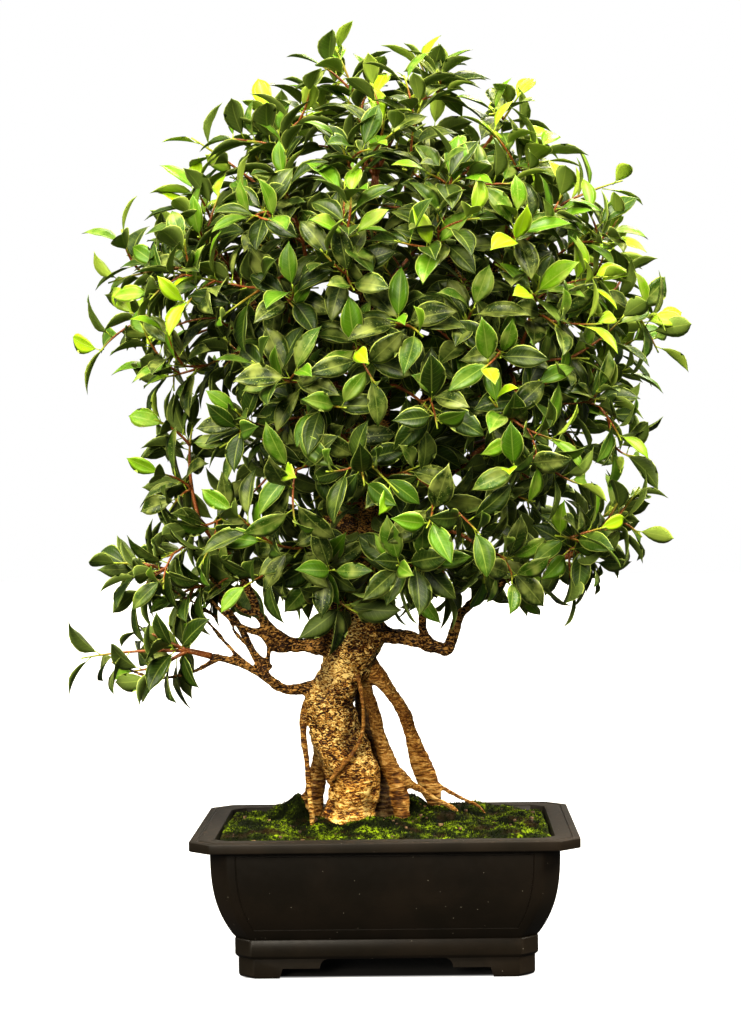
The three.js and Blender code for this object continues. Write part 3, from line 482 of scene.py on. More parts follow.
def points_of(mesh):
    points = np.empty(len(mesh.vertices) * 3, np.float32)
    mesh.vertices.foreach_get("co", points)
    return points.reshape(-1, 3).astype(float)


def finish_piece(piece, slot, *nodes):
    """The piece rides with the tree and stands for its nodes. Its slot is not used."""
    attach(piece, "root")
    if nodes:
        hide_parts(*nodes)


def ring_faces(rings, count):
    """Four-cornered faces between rings of equal count, and one face for each end."""
    start = np.arange(rings - 1)[:, None] * count
    i = np.arange(count)[None, :]
    j = (i + 1) % count
    sides = np.stack([start + i, start + j, start + count + j, start + count + i], -1).reshape(-1, 4)
    ends = np.stack([np.arange(count)[::-1], np.arange(count) + (rings - 1) * count])
    return sides, ends


# Lines

def smooth_line(places):
    """Centripetal Catmull-Rom line through places, as the solids' own lines run."""
    places = [Vector(p[:3]) for p in places]
    last = len(places) - 1

    def at(share):
        place = share * last
        before = min(int(place), last - 1)
        share = place - before
        b, c = places[before], places[before + 1]
        a = places[before - 1] if before > 0 else 2 * b - c
        d = places[before + 2] if before + 2 <= last else 2 * c - b
        ab, bc, cd = math.sqrt((b - a).length), math.sqrt((c - b).length), math.sqrt((d - c).length)
        leaving = ((b - a) / ab - (c - a) / (ab + bc) + (c - b) / bc) * bc
        coming = ((c - b) / bc - (d - b) / (bc + cd) + (d - c) / cd) * bc
        square = share * share
        return (b + leaving * share + (3 * (c - b) - 2 * leaving - coming) * square
                + (2 * (b - c) + leaving + coming) * square * share)

    return at


def bent_line(start, bend, end):
    """Quadratic line that leaves start towards bend and comes to end from it."""
    def at(share):
        rest = 1 - share
        return start * (rest * rest) + bend * (2 * rest * share) + end * (share * share)

    return at


def heading(line, share):
    step = 1e-3
    return (line(min(1, share + step)) - line(max(0, share - step))).normalized()


def length_of(line, steps=24):
    places = [line(i / steps) for i in range(steps + 1)]
    return sum((b - a).length for a, b in zip(places, places[1:]))


def tube(line, radius, sides, rings, relief=None):
    """Points and faces of a closed tube. Its radius and its relief are functions of the share along it."""
    across = Vector((1, 0.2, 0.1))
    points = []
    for i in range(rings):
        share = i / (rings - 1)
        way = heading(line, share)
        across = (across - way * across.dot(way)).normalized()
        side = way.cross(across)
        centre = line(share)
        for k in range(sides):
            angle = 2 * math.pi * k / sides
            reach = radius(share) * (relief(angle, share) if relief else 1)
            points.append(centre + across * (reach * math.cos(angle)) + side * (reach * math.sin(angle)))
    return points, ring_faces(rings, sides)


def station_radius(stations):
    """Radius at a share along a line of stations."""
    radii = [s[3] for s in stations]
    places = np.linspace(0, 1, len(radii))
    return lambda share: float(np.interp(share, places, radii))


# Crown

def spread(count, turn):
    """Directions spread evenly over a ball."""
    ways = []
    for i in range(count):
        z = 1 - 2 * (i + 0.5) / count
        level = math.sqrt(1 - z * z)
        angle = turn + i * GOLDEN_ANGLE
        ways.append(Vector((level * math.cos(angle), level * math.sin(angle), z)))
    return ways


def crown_radius(way):
    """Distance of the crown's outline from its centre, taken between its left and right outlines."""
    steps = np.arange(len(OUTLINE_LEFT)) * OUTLINE_STEP - math.pi / 2
    angle = math.asin(max(-1, min(1, way.z)))
    left = float(np.interp(angle, steps, OUTLINE_LEFT))
    right = float(np.interp(angle, steps, OUTLINE_RIGHT))
    level = math.hypot(way.x, way.y) or 1
    return between((left, right), 0.5 + 0.5 * way.x / level)


def crown_point(way, distance):
    """A place in the crown, at a distance along a direction, with the crown's lesser depth."""
    place = way * distance
    place.y *= CROWN_DEPTH_RATIO
    return place + CROWN_CENTRE


def branch_to(end):
    """A branch leaves the limb where the way out to its end is short and doesn't turn down."""
    best = None
    for limb in LIMBS:
        line = smooth_line(limb)
        for step in range(2, 10):
            along = step / 10
            start = line(along)
            station = limb[math.floor(along * (len(limb) - 1) + 0.5)]
            cost = (start - end).length + DOWNWARD_COST * max(0, start.z - end.z + CLIMB)
            if best is None or cost < best[0]:
                best = (cost, start, min(0.7 * station[3], INNER_FOOT_RADIUS))
    start, radius = best[1:]
    span = end - start
    sag = span.length * BRANCH_SAG
    stations = []
    for share, sag_share in ((0, 0), (0.4, 1), (0.75, 0.6), (1, 0)):
        place = start + span * share
        place.z -= sag * sag_share
        stations.append((*place, between((radius, INNER_TIP_RADIUS), share)))
    return stations


def all_branches():
    """The limbs, and the smaller branches that leave them for the inside of the crown."""
    ends = [crown_point(way, INNER_REACH * crown_radius(way)) for way in spread(INNER_BASES, INNER_TURN)]
    return [*LIMBS, *[branch_to(end) for end in ends]]


def shoot_tips(draw):
    """Tips of the outlying shoots, and of those over the whole crown, drawn ragged below its outline."""
    tips = []
    for way in spread(CROWN_SHOOTS, 0):
        scatter = Vector((draw() - 0.5, draw() - 0.5, draw() - 0.5)) * SHOOT_SCATTER
        ragged = (way + scatter).normalized()
        tips.append(crown_point(ragged, crown_radius(ragged) - SHOOT_INSET - SHOOT_RAGGED * draw()))
    return [*[Vector(tip) for tip in OUTLYING_SHOOTS], *tips]


# Nodes

class NodeSurface:
    """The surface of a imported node, which says how far a place in millimetres lies from it."""

    def __init__(self, name):
        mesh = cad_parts[name].data
        self.name = name
        self.tree = BVHTree.FromPolygons([v.co for v in mesh.vertices], [p.vertices for p in mesh.polygons])

    def distance(self, place):
        found = self.tree.find_nearest(place * MM + POT_MIDDLE)
        return found[3] / MM


class Shoot:
    """A leafy twig: its line, its number for draws, the turn of its first leaf and the spray that holds it.
    The leaves of a close shoot stand nearer together and face more outwards than those of the solids."""

    def __init__(self, line, number, phase, spray, radius=TWIG_RADIUS, youth=1.0, close=False):
        self.line = line
        self.number = number
        self.phase = phase
        self.spray = spray
        self.radius = radius
        self.youth = youth
        self.length = length_of(line)
        self.distance = LEAF_DISTANCE_CLOSE if close else LEAF_DISTANCE
        self.hang = LEAF_HANG_CLOSE if close else LEAF_HANG
        self.facing = LEAF_FACING_CLOSE if close else LEAF_FACING
        self.opening = LEAF_OPENING_CLOSE if close else LEAF_OPENING
        lean = SHOOT_LEAN_CLOSE if close else SHOOT_LEAN
        self.lean = (line(1) - CROWN_CENTRE).normalized() * lean["outward"] + UP * lean["upward"]
        self.joints = [line(i / TWIG_SEGMENTS) for i in range(TWIG_SEGMENTS + 1)]
        self.leaves = []

    def on_solid(self, share):
        """A place on the straight stretches of the solid's own twig."""
        place = share * TWIG_SEGMENTS
        before = min(int(place), TWIG_SEGMENTS - 1)
        return self.joints[before].lerp(self.joints[before + 1], place - before)


def twig_line(base, tip, detour):
    """Twig from its base's fork to its tip. A detour takes it round what stands in its way."""
    way = tip - base["fork"]
    bend = (base["fork"] + way * TWIG_BEND["share"] + detour
            + base["heading"] * (TWIG_BEND["heading"] * way.length))
    return bent_line(base["fork"], bend, tip)


def leaf_of(shoot, number, turn, share_place):
    """One leaf in the spiral of its shoot, where leaves spread wider and hang lower away from the tip."""
    draw = seeded(1000 + 37 * shoot.number + 7919 * number)
    draw()
    distance = shoot.distance
    from_tip = distance["first"] + distance["step"] * number + distance["stretch"] * number ** 2
    along = max(LOWEST_LEAF, 1 - from_tip / shoot.length)
    axis = (heading(shoot.line, along) + shoot.lean).normalized()
    azimuth = shoot.phase + number * GOLDEN_ANGLE + turn + AZIMUTH_VARY * (draw() - 0.5)
    wide = shoot.opening["first"] + shoot.opening["step"] * number - shoot.opening["fade"] * number ** 2
    opening = math.radians(wide + shoot.opening["vary"] * (draw() - 0.5))
    outward = axis.cross(UP).normalized()
    outward.rotate(Quaternion(axis, azimuth))
    direction = axis * math.cos(opening) + outward * math.sin(opening)
    direction.z -= shoot.hang["first"] + shoot.hang["step"] * number
    direction.normalize()
    facing = shoot.facing
    away = (shoot.line(1) - CROWN_CENTRE).normalized()
    upward = axis + outward * facing["twig"] + UP * facing["up"] + away * facing["out"]
    side = upward.cross(direction).normalized()
    size = min(1, LEAF_GROWTH["first"] + LEAF_GROWTH["step"] * number) * between(LEAF_SCALE, draw())
    return {
        "place": share_place(along),
        "axes": (direction, side, direction.cross(side).normalized()),
        "size": size,
        "fold": between(LEAF_FOLD, draw()),
        "droop": between(LEAF_DROOP, draw()),
        "number": number,
        "draws": [draw() for _ in range(6)],
    }


def leaf_height(leaf, share):
    return LEAF_LENGTH * leaf["size"] * (LEAF_ARCH * share - (LEAF_ARCH + leaf["droop"]) * share ** 2)


def leaf_gap(leaf, surface):
    """How far the middle and the tip of a leaf lie from the solid's surface."""
    forward, _, normal = leaf["axes"]
    gaps = []
    for share in (LEAF_MIDDLE, LEAF_TIP):
        along = share * LEAF_LENGTH * leaf["size"]
        gaps.append(surface.distance(leaf["place"] + forward * along + normal * leaf_height(leaf, share)))
    return max(gaps)


def solid_shoots(branches):
    """The shoots of the solids, each found again by the rule that grew it and by the surface of its node."""
    surfaces = [NodeSurface(name) for name in SPRAY_NODES]
    bases = []
    for stations in branches:
        line = smooth_line(stations)
        way = heading(line, 1)
        place = line(1) + way * CLEARANCE
        fork = place + way * STEM_LENGTH
        near = min(surfaces, key=lambda surface: surface.distance(fork))
        bases.append({"place": place, "heading": way, "fork": fork, "radius": stations[-1][3],
                      "surface": near if near.distance(fork) < 3 * TWIG_RADIUS else None})
    bases = [base for base in bases if base["surface"]]
    draw = seeded(SHOOT_SEED)
    shoots = []
    for number, tip in enumerate(shoot_tips(draw)):
        phase = 2 * math.pi * draw()

        def cost(base):
            way = tip - base["place"]
            return way.length - HEADING_WORTH * way.normalized().dot(base["heading"])

        shoot = find_shoot(sorted(bases, key=cost)[:NEAR_BRANCHES + 1], tip, number, phase)
        if shoot:
            shoots.append(shoot)
    return bases, shoots


def find_shoot(bases, tip, number, phase):
    """The shoot to a tip, from the first base and by the first detour whose twig lies in a spray's solid."""
    for base in bases:
        for detour in DETOURS:
            line = twig_line(base, tip, detour)
            joint = line(1 / TWIG_SEGMENTS)
            surface = base["surface"]
            if surface.distance(joint) < 1.2 * TWIG_RADIUS and surface.distance(tip) < 1.2 * TWIG_TIP_RADIUS:
                shoot = Shoot(line, number, phase, surface.name)
                for leaf_number in range(1, LEAVES_PER_SHOOT + 1):
                    tries = [leaf_of(shoot, leaf_number, turn, shoot.on_solid) for turn in LEAF_TURNS]
                    shoot.leaves.append(min(tries, key=lambda leaf: leaf_gap(leaf, surface)))
                return shoot
    return None


def filling_feet(branches, shoots):
    """Feet where filling shoots may leave twigs and branches, each as its place, way, spray and radius."""
    feet = []
    for shoot in shoots:
        for share in TWIG_FEET["shares"]:
            feet.append((shoot.line(share), heading(shoot.line, share), shoot.spray, TWIG_FEET["radius"]))
    on_twigs = list(feet)
    for stations in branches:
        line = smooth_line(stations)
        for share in BRANCH_FEET["shares"]:
            place = line(share)
            if place.z > BRANCH_FEET["lowest"]:
                spray = min(on_twigs, key=lambda foot: (foot[0] - place).length)[2]
                feet.append((place, heading(line, share), spray, BRANCH_FEET["radius"]))
    return feet


def filling_tips(draw):
    """Tips of the filling shoots from the crown's middle outwards, each with its youth and two draws: whether
    it is kept on the thin side, and the turn of its first leaf."""
    wanted = []
    for shell in FILLING_SHELLS:
        for way in spread(shell["count"], shell["turn"]):
            ragged = (way + Vector((draw() - 0.5, draw() - 0.5, draw() - 0.5)) * SHOOT_SCATTER).normalized()
            reach = crown_radius(ragged) * (shell["reach"] - shell["ragged"] * draw())
            wanted.append((reach, crown_point(ragged, reach), shell["youth"], draw(), draw()))
    for bough in LOW_BOUGHS:
        for way in spread(bough["count"], bough["turn"]):
            share = BOUGH_CORE + BOUGH_RAGGED * draw()
            tip = Vector([c + w * r * share for c, w, r in zip(bough["centre"], way, bough["reach"])])
            wanted.append(((tip - CROWN_CENTRE).length, tip, SHOOT_YOUTH["bough"], 1, draw()))
    for one in wanted:
        one[1].y = max(TIP_DEPTHS[0], min(TIP_DEPTHS[1], one[1].y))
    for tip in HANGING_SHOOTS:
        wanted.append((0, Vector(tip), SHOOT_YOUTH["hanging"], 1, draw()))
    wanted.sort(key=lambda one: one[0])
    for tip in EDGE_SHOOTS:
        wanted.append((0, Vector(tip), SHOOT_YOUTH["edge"], 1, draw()))
    return [one[1:] for one in wanted]


def foot_cost(foot, tip):
    """How far a foot is from a tip. The way counts longer where it doesn't lead outwards or is very short."""
    way = tip - foot[0]
    outward = (foot[0] - CROWN_CENTRE).normalized() + UP * FOOT_COST["upward"]
    turned = way.normalized().dot(outward.normalized())
    short = FOOT_COST["short"] if way.length < FOOT_COST["shortest"] else 0
    return way.length * (FOOT_COST["any way"] - FOOT_COST["outward"] * turned) + short


def filling_shoots(branches, shoots):
    """Shoots that fill the crown between those of the solids. Each leaves wood or a twig that is near."""
    feet = filling_feet(branches, shoots)
    tips = [shoot.line(1) for shoot in shoots]
    grown = []
    for tip, youth, kept, phase in filling_tips(seeded(FILLING_SEED)):
        thin = tip.x < THIN_SIDE["x"] and THIN_SIDE["low"] < tip.z < THIN_SIDE["high"]
        if thin and kept < THIN_SIDE["share"]:
            continue
        if min((tip - other).length for other in tips) < TIP_SPACING:
            continue
        place, way, spray, radius = min(feet, key=lambda foot: foot_cost(foot, tip))
        span = tip - place
        bend = place + span * TWIG_BEND["share"] + way * (TWIG_BEND["heading"] * span.length)
        line = bent_line(place, bend, tip)
        number = FILLING_NUMBER + len(grown)
        shoot = Shoot(line, number, 2 * math.pi * phase, spray, min(radius, TWIG_RADIUS), youth, True)
        count = FILLING_LEAVES if shoot.length > LONG_SHOOT else FILLING_LEAVES - 2
        shoot.leaves = [leaf_of(shoot, leaf_number, 0, line) for leaf_number in range(1, count + 1)]
        grown.append(shoot)
        tips.append(tip)
        for share in FILLING_FEET["shares"]:
            feet.append((line(share), heading(line, share), spray, FILLING_FEET["radius"]))
    return grown


# Materials

def add_node(tree, kind, inputs=None, stops=(), out=0, **settings):
    """Adds a node, sets its properties, and gives each named or numbered input a value or a link. A colour is
    hex or linear, and stops are the places and colours along a ramp. Returns the output called out."""
    made = tree.nodes.new("ShaderNode" + kind)
    for key, value in settings.items():
        setattr(made, key, value)
    for key, value in (inputs or {}).items():
        socket = made.inputs[key]
        if isinstance(value, bpy.types.NodeSocket):
            tree.links.new(value, socket)
        else:
            socket.default_value = opaque(value) if socket.type == "RGBA" else value
    if stops:
        elements = made.color_ramp.elements
        while len(elements) < len(stops):
            elements.new(0.5)
        for element, (place, colour) in zip(elements, stops):
            element.position = place
            element.color = opaque(colour)
    return made.outputs[out] if made.outputs else None


def new_material(name, **values):
    """A material with one Principled shader, whose plain values are set on its own sockets."""
    material = bpy.data.materials.new(name)
    material.use_nodes = True
    tree = material.node_tree
    tree.nodes.clear()
    inputs = {key.replace("_", " "): value for key, value in values.items()}
    surface = add_node(tree, "BsdfPrincipled", inputs)
    add_node(tree, "OutputMaterial", {"Surface": surface})
    return material, tree, surface.node


def per_mm(size):
    """Scale of a pattern whose features are so many millimetres wide, in coordinates of metres."""
    return 1 / (size * MM)


def pot_material(look):
    """Moulded polyethylene, nearly black brown: a satin skin, tan where its rim is worn, with dusty dots."""
    material, tree, shader = new_material("Moulded polyethylene, satin", IOR=1.51, Roughness=0.34,
                                          Specular_IOR_Level=0.13)
    place = add_node(tree, "TexCoord", out="Object")
    # Cloudy patches of the moulding, as wide as 45 mm
    cloud = add_node(tree, "TexNoise", {"Vector": place, "Scale": per_mm(45), "Detail": 4})
    patch = add_node(tree, "MapRange", {"Value": cloud, "From Min": 0.35, "From Max": 0.7}, **SMOOTH)
    skin = add_node(tree, "Mix", {FACTOR: patch, FIRST: look.pot_colour, SECOND: look.pot_sheen_colour},
                    **COLOURS)
    # Wear on the rim's top edge, broken up by scuffs of 7 mm
    scuffs = add_node(tree, "TexNoise", {"Vector": place, "Scale": per_mm(7), "Detail": 5})
    height = add_node(tree, "SeparateXYZ", {0: place}, out=2)
    on_rim = add_node(tree, "MapRange", {"Value": height, "From Min": (POT_HEIGHT - 1.4) * MM,
                                         "From Max": (POT_HEIGHT - 0.2) * MM}, **SMOOTH)
    rubbed = add_node(tree, "MapRange", {"Value": scuffs, "From Min": 0.52, "From Max": 0.76}, **SMOOTH)
    worn = add_node(tree, "Math", {0: on_rim, 1: rubbed}, operation="MULTIPLY")
    edged = add_node(tree, "Mix", {FACTOR: worn, FIRST: skin, SECOND: look.pot_worn_colour}, **COLOURS)
    # Dots of dust about 9 mm apart
    apart = add_node(tree, "TexVoronoi", {"Vector": place, "Scale": per_mm(9)}, out="Distance")
    dots = add_node(tree, "MapRange", {"Value": apart, "From Min": 0.055, "From Max": 0.03}, **SMOOTH)
    faint = add_node(tree, "Math", {0: dots, 1: 0.5}, operation="MULTIPLY")
    colour = add_node(tree, "Mix", {FACTOR: faint, FIRST: edged, SECOND: look.pot_dust_colour}, **COLOURS)
    tree.links.new(colour, shader.inputs["Base Color"])
    rough = add_node(tree, "MapRange", {"Value": scuffs, "To Min": 0.28, "To Max": 0.46})
    dull = add_node(tree, "Math", {0: on_rim, 1: 0.8}, operation="MULTIPLY")
    duller = add_node(tree, "Math", {0: rough, 1: dull}, operation="MAXIMUM")
    tree.links.new(duller, shader.inputs["Roughness"])
    grain = add_node(tree, "TexNoise", {"Vector": place, "Scale": per_mm(1.6), "Detail": 3})
    bump = add_node(tree, "Bump", {"Strength": 0.12, "Distance": 0.3 * MM, "Height": grain})
    tree.links.new(bump, shader.inputs["Normal"])
    return material


def screen_material():
    """Moulded polypropylene mesh, dull black with a fine grain."""
    material, tree, shader = new_material("Moulded polypropylene mesh", IOR=1.49, Roughness=0.6)
    place = add_node(tree, "TexCoord", out="Object")
    grain = add_node(tree, "TexNoise", {"Vector": place, "Scale": per_mm(2), "Detail": 3})
    colour = add_node(tree, "ValToRGB", {"Fac": grain}, ((0.3, "#151816"), (0.7, "#262b28")))
    tree.links.new(colour, shader.inputs["Base Color"])
    bump = add_node(tree, "Bump", {"Strength": 0.2, "Distance": 0.2 * MM, "Height": grain})
    tree.links.new(bump, shader.inputs["Normal"])
    return material


def soil_material():
    """Potting soil, sieved: dark crumbs of 2 to 5 mm with paler grit between them."""
    material, tree, shader = new_material("Potting soil, sieved", Roughness=0.95)
    place = add_node(tree, "TexCoord", out="Object")
    crumbs = add_node(tree, "TexVoronoi", {"Vector": place, "Scale": per_mm(3.5)}).node.outputs
    tint = add_node(tree, "SeparateXYZ", {0: crumbs["Color"]})
    stops = ((0.1, "#1d140c"), (0.6, "#3a2817"), (0.93, "#5b4226"), (0.98, "#9a8a70"))
    colour = add_node(tree, "ValToRGB", {"Fac": tint}, stops)
    tree.links.new(colour, shader.inputs["Base Color"])
    bump = add_node(tree, "Bump", {"Strength": 0.8, "Distance": 1.2 * MM, "Height": crumbs["Distance"]},
                    invert=True)
    tree.links.new(bump, shader.inputs["Normal"])
    return material


def moss_material(look):
    """Cushion moss, living: velvety tips in yellow green over dark green, with brown dead patches, lightened
    as painted highlight on the mounds' tops and darkened as painted shade between them.
    """
    material, tree, shader = new_material("Cushion moss, living", Roughness=0.9, Specular_IOR_Level=0.05)
    place = add_node(tree, "TexCoord", out="Object")
    # The mesh says how high in its cushion each point lies: high points take the light yellow green tips,
    # partly the moss's own and partly painted highlight, and low points between the mounds take painted
    # shade. Tufts of 3 mm break that up.
    lift = add_node(tree, "Attribute", out="Fac", attribute_name="lift")
    high = add_node(tree, "MapRange", {"Value": lift, "From Min": 0.0, "From Max": 0.8}, **SMOOTH)
    tufts = add_node(tree, "TexNoise", {"Vector": place, "Scale": per_mm(3), "Detail": 5})
    tufted = add_node(tree, "MapRange", {"Value": tufts, "From Min": 0.36, "From Max": 0.62}, **SMOOTH)
    bright = add_node(tree, "Math", {0: high, 1: tufted}, operation="MULTIPLY")
    stops = ((0, look.moss_painted_shade_colour), (0.42, look.moss_middle_colour), (1, look.moss_colour))
    green = add_node(tree, "ValToRGB", {"Fac": bright}, stops)
    patch = add_node(tree, "TexNoise", {"Vector": place, "Scale": per_mm(26), "Detail": 3})
    dry = add_node(tree, "MapRange", {"Value": patch, "From Min": 0.54, "From Max": 0.7}, **SMOOTH)
    dead = add_node(tree, "Math", {0: dry, 1: 0.85}, operation="MULTIPLY")
    colour = add_node(tree, "Mix", {FACTOR: dead, FIRST: green, SECOND: look.moss_dead_colour}, **COLOURS)
    tree.links.new(colour, shader.inputs["Base Color"])
    fine = add_node(tree, "TexNoise", {"Vector": place, "Scale": per_mm(1.2), "Detail": 4})
    bump = add_node(tree, "Bump", {"Strength": 0.8, "Distance": 0.8 * MM, "Height": fine})
    tree.links.new(bump, shader.inputs["Normal"])
    return material


def grit_material():
    """Akadama grit and bark crumbs, baked clay and dry wood: matt tan and grey brown grains."""
    material, tree, shader = new_material("Clay grit, baked", Roughness=0.9)
    place = add_node(tree, "TexCoord", out="Object")
    tint = add_node(tree, "TexNoise", {"Vector": place, "Scale": per_mm(6), "Detail": 2})
    stops = ((0.35, "#2c1e11"), (0.55, "#5b4126"), (0.7, "#8f7650"))
    colour = add_node(tree, "ValToRGB", {"Fac": tint}, stops)
    tree.links.new(colour, shader.inputs["Base Color"])
    return material


def bark_material(look):
    """Fig bark, grown: golden granules on red-brown skin with dark pits between them, drawn out into rings on
    the roots and finer and browner on the branches. Painted shade darkens the pits, the trunk's folds, dents
    at its foot and the roots that stand in shadow, nearly to black. The palest granules and rings are painted
    highlights."""
    material, tree, shader = new_material("Fig bark, grown", IOR=1.45, Roughness=0.5,
                                          Specular_IOR_Level=0.22)
    place = add_node(tree, "TexCoord", out="Object")
    branch = add_node(tree, "Attribute", out="Fac", attribute_name="branch")
    rings = add_node(tree, "Attribute", out="Fac", attribute_name="rings")
    hollow = add_node(tree, "Attribute", out="Fac", attribute_name="hollow")
    root = add_node(tree, "Attribute", out="Fac", attribute_name="root")
    # Granules 2 mm high and 4 mm wide. The flatter pattern, 2 mm high and 10 mm wide, reads as rings.
    wide = add_node(tree, "Mapping", {"Vector": place, "Scale": (0.58, 0.58, 1.15)})
    granules = add_node(tree, "TexNoise", {"Vector": wide, "Scale": per_mm(2.2), "Detail": 1.2,
                                           "Roughness": 0.5, "Distortion": 1.3})
    flat = add_node(tree, "Mapping", {"Vector": place, "Scale": (0.26, 0.26, 1.2)})
    stripes = add_node(tree, "TexNoise", {"Vector": flat, "Scale": per_mm(2.6), "Detail": 2, "Roughness": 0.5,
                                          "Distortion": 0.5})
    pattern = add_node(tree, "Mix", {0: rings, 2: granules, 3: stripes}, data_type="FLOAT")
    # Patches of about 24 mm where the granules stand closer or wider apart
    broad = add_node(tree, "TexNoise", {"Vector": place, "Scale": per_mm(24), "Detail": 3})
    centred = add_node(tree, "Math", {0: broad, 1: 0.5}, operation="SUBTRACT")
    shifted = add_node(tree, "Math", {0: centred, 1: 0.34, 2: pattern}, operation="MULTIPLY_ADD")
    # The palest stop of the trunk's and the roots' ramps is a painted highlight on the most raised granules
    # and rings
    trunk = add_node(tree, "ValToRGB", {"Fac": shifted}, (
        (0.38, look.bark_dark_colour), (0.46, look.bark_middle_colour), (0.53, look.bark_light_colour),
        (0.63, look.bark_painted_highlight_colour)))
    rooty = add_node(tree, "ValToRGB", {"Fac": shifted}, (
        (0.26, look.bark_dark_colour), (0.4, look.root_colour), (0.58, look.root_light_colour),
        (0.72, look.root_painted_highlight_colour)))
    twiggy = add_node(tree, "ValToRGB", {"Fac": shifted}, (
        (0.4, look.branch_dark_colour), (0.5, look.branch_colour), (0.6, look.branch_light_colour)))
    stem = add_node(tree, "Mix", {FACTOR: root, FIRST: trunk, SECOND: rooty}, **COLOURS)
    skin = add_node(tree, "Mix", {FACTOR: branch, FIRST: stem, SECOND: twiggy}, **COLOURS)
    # Painted shade darkens the skin in pits, dents, folds and on roots in shadow
    colour = add_node(tree, "Mix", {FACTOR: hollow, FIRST: skin, SECOND: look.bark_painted_shade_colour}, **COLOURS)
    tree.links.new(colour, shader.inputs["Base Color"])
    raised = add_node(tree, "MapRange", {"Value": shifted, "From Min": 0.4, "From Max": 0.62}, **SMOOTH)
    bump = add_node(tree, "Bump", {"Strength": 1.0, "Distance": 0.9 * MM, "Height": raised})
    tree.links.new(bump, shader.inputs["Normal"])
    return material


def leaf_material(look, under):
    """Fig leaf, waxy: a glossy upper face with a pale midrib, a painted highlight along the rim and dried
    water spots, dull beneath.
    """
    name = "Fig leaf, dull lower face" if under else "Fig leaf, waxy upper face"
    material, tree, shader = new_material(name, IOR=1.45, Roughness=0.55 if under else 0.4,
                                          Specular_IOR_Level=0.32)
    place = add_node(tree, "TexCoord", out="Object")
    age = add_node(tree, "Attribute", out="Fac", attribute_name="youth")
    # The mesh says how far along and across the blade each point lies, and gives each leaf its own tint
    plan = add_node(tree, "Attribute", out="Vector", attribute_name="plan")
    along, across, tint = add_node(tree, "SeparateXYZ", {0: plan}).node.outputs
    if under:
        stops = ((0, look.leaf_under_colour), (0.4, look.leaf_under_middle_colour),
                 (1, look.leaf_under_young_colour))
    else:
        stops = ((0, look.leaf_old_colour), (0.22, look.leaf_mature_colour), (0.5, look.leaf_middle_colour),
                 (0.85, look.leaf_young_colour))
    cloud = add_node(tree, "TexNoise", {"Vector": place, "Scale": per_mm(14), "Detail": 2})
    centred = add_node(tree, "Math", {0: cloud, 1: 0.5}, operation="SUBTRACT")
    toned = add_node(tree, "Math", {0: centred, 1: 0.3, 2: age}, operation="MULTIPLY_ADD")
    blade = add_node(tree, "ValToRGB", {"Fac": toned}, stops)
    aside = add_node(tree, "Math", {0: across}, operation="ABSOLUTE")
    # Side veins leave the midrib every 4 mm and lean towards the tip
    number = add_node(tree, "Math", {0: along, 1: 12}, operation="MULTIPLY")
    leaning = add_node(tree, "Math", {0: aside, 1: -2.2, 2: number}, operation="MULTIPLY_ADD")
    turn = add_node(tree, "Math", {0: leaning, 1: 2 * math.pi}, operation="MULTIPLY")
    wave = add_node(tree, "Math", {0: turn}, operation="SINE")
    lines = add_node(tree, "MapRange", {"Value": wave, "From Min": 0.9, "From Max": 1.0}, **SMOOTH)
    veins = add_node(tree, "Math", {0: lines, 1: 0.1}, operation="MULTIPLY")
    middle = add_node(tree, "MapRange", {"Value": aside, "From Min": 0.09, "From Max": 0.02}, **SMOOTH)
    midrib = add_node(tree, "Math", {0: middle, 1: 0.3}, operation="MULTIPLY")
    # A painted highlight along the rim, where the curled edge would catch light
    edge = add_node(tree, "MapRange", {"Value": aside, "From Min": 0.86, "From Max": 0.98}, **SMOOTH)
    rim = add_node(tree, "Math", {0: edge, 1: 0.85}, operation="MULTIPLY")
    strong = add_node(tree, "Math", {0: midrib, 1: rim}, operation="MAXIMUM")
    drawn = add_node(tree, "Math", {0: strong, 1: veins}, operation="MAXIMUM")
    colour = add_node(tree, "Mix", {FACTOR: drawn, FIRST: blade, SECOND: look.leaf_vein_and_rim_highlight_colour}, **COLOURS)
    if not under:
        colour = dried_water(tree, look, place, cloud, tint, colour)
    tree.links.new(colour, shader.inputs["Base Color"])
    uneven = add_node(tree, "Math", {0: cloud, 1: 0.6}, operation="MULTIPLY")
    height = add_node(tree, "Math", {0: drawn, 1: uneven}, operation="ADD")
    bump = add_node(tree, "Bump", {"Strength": 0.35, "Distance": 0.3 * MM, "Height": height})
    tree.links.new(bump, shader.inputs["Normal"])
    return material


def dried_water(tree, look, place, cloud, tint, colour):
    """The leaf's colour under the lime that dried water leaves: spots of 2 to 3 mm and a cloudy film."""
    apart = add_node(tree, "TexVoronoi", {"Vector": place, "Scale": per_mm(2.6)}, out="Distance")
    spots = add_node(tree, "MapRange", {"Value": apart, "From Min": 0.32, "From Max": 0.16}, **SMOOTH)
    spotted = add_node(tree, "MapRange", {"Value": tint, "From Min": 0.2, "From Max": 0.9}, **SMOOTH)
    dusty = add_node(tree, "Math", {0: spots, 1: spotted}, operation="MULTIPLY")
    faint = add_node(tree, "Math", {0: dusty, 1: 0.55}, operation="MULTIPLY")
    clouds = add_node(tree, "MapRange", {"Value": cloud, "From Min": 0.4, "From Max": 0.7}, **SMOOTH)
    filmed = add_node(tree, "MapRange", {"Value": tint, "From Min": 0.15, "From Max": 0.85}, **SMOOTH)
    film = add_node(tree, "Math", {0: clouds, 1: filmed}, operation="MULTIPLY")
    thin = add_node(tree, "Math", {0: film, 1: 0.66}, operation="MULTIPLY")
    pale = add_node(tree, "Math", {0: faint, 1: thin}, operation="MAXIMUM")
    return add_node(tree, "Mix", {FACTOR: pale, FIRST: colour, SECOND: look.leaf_dust_colour}, **COLOURS)


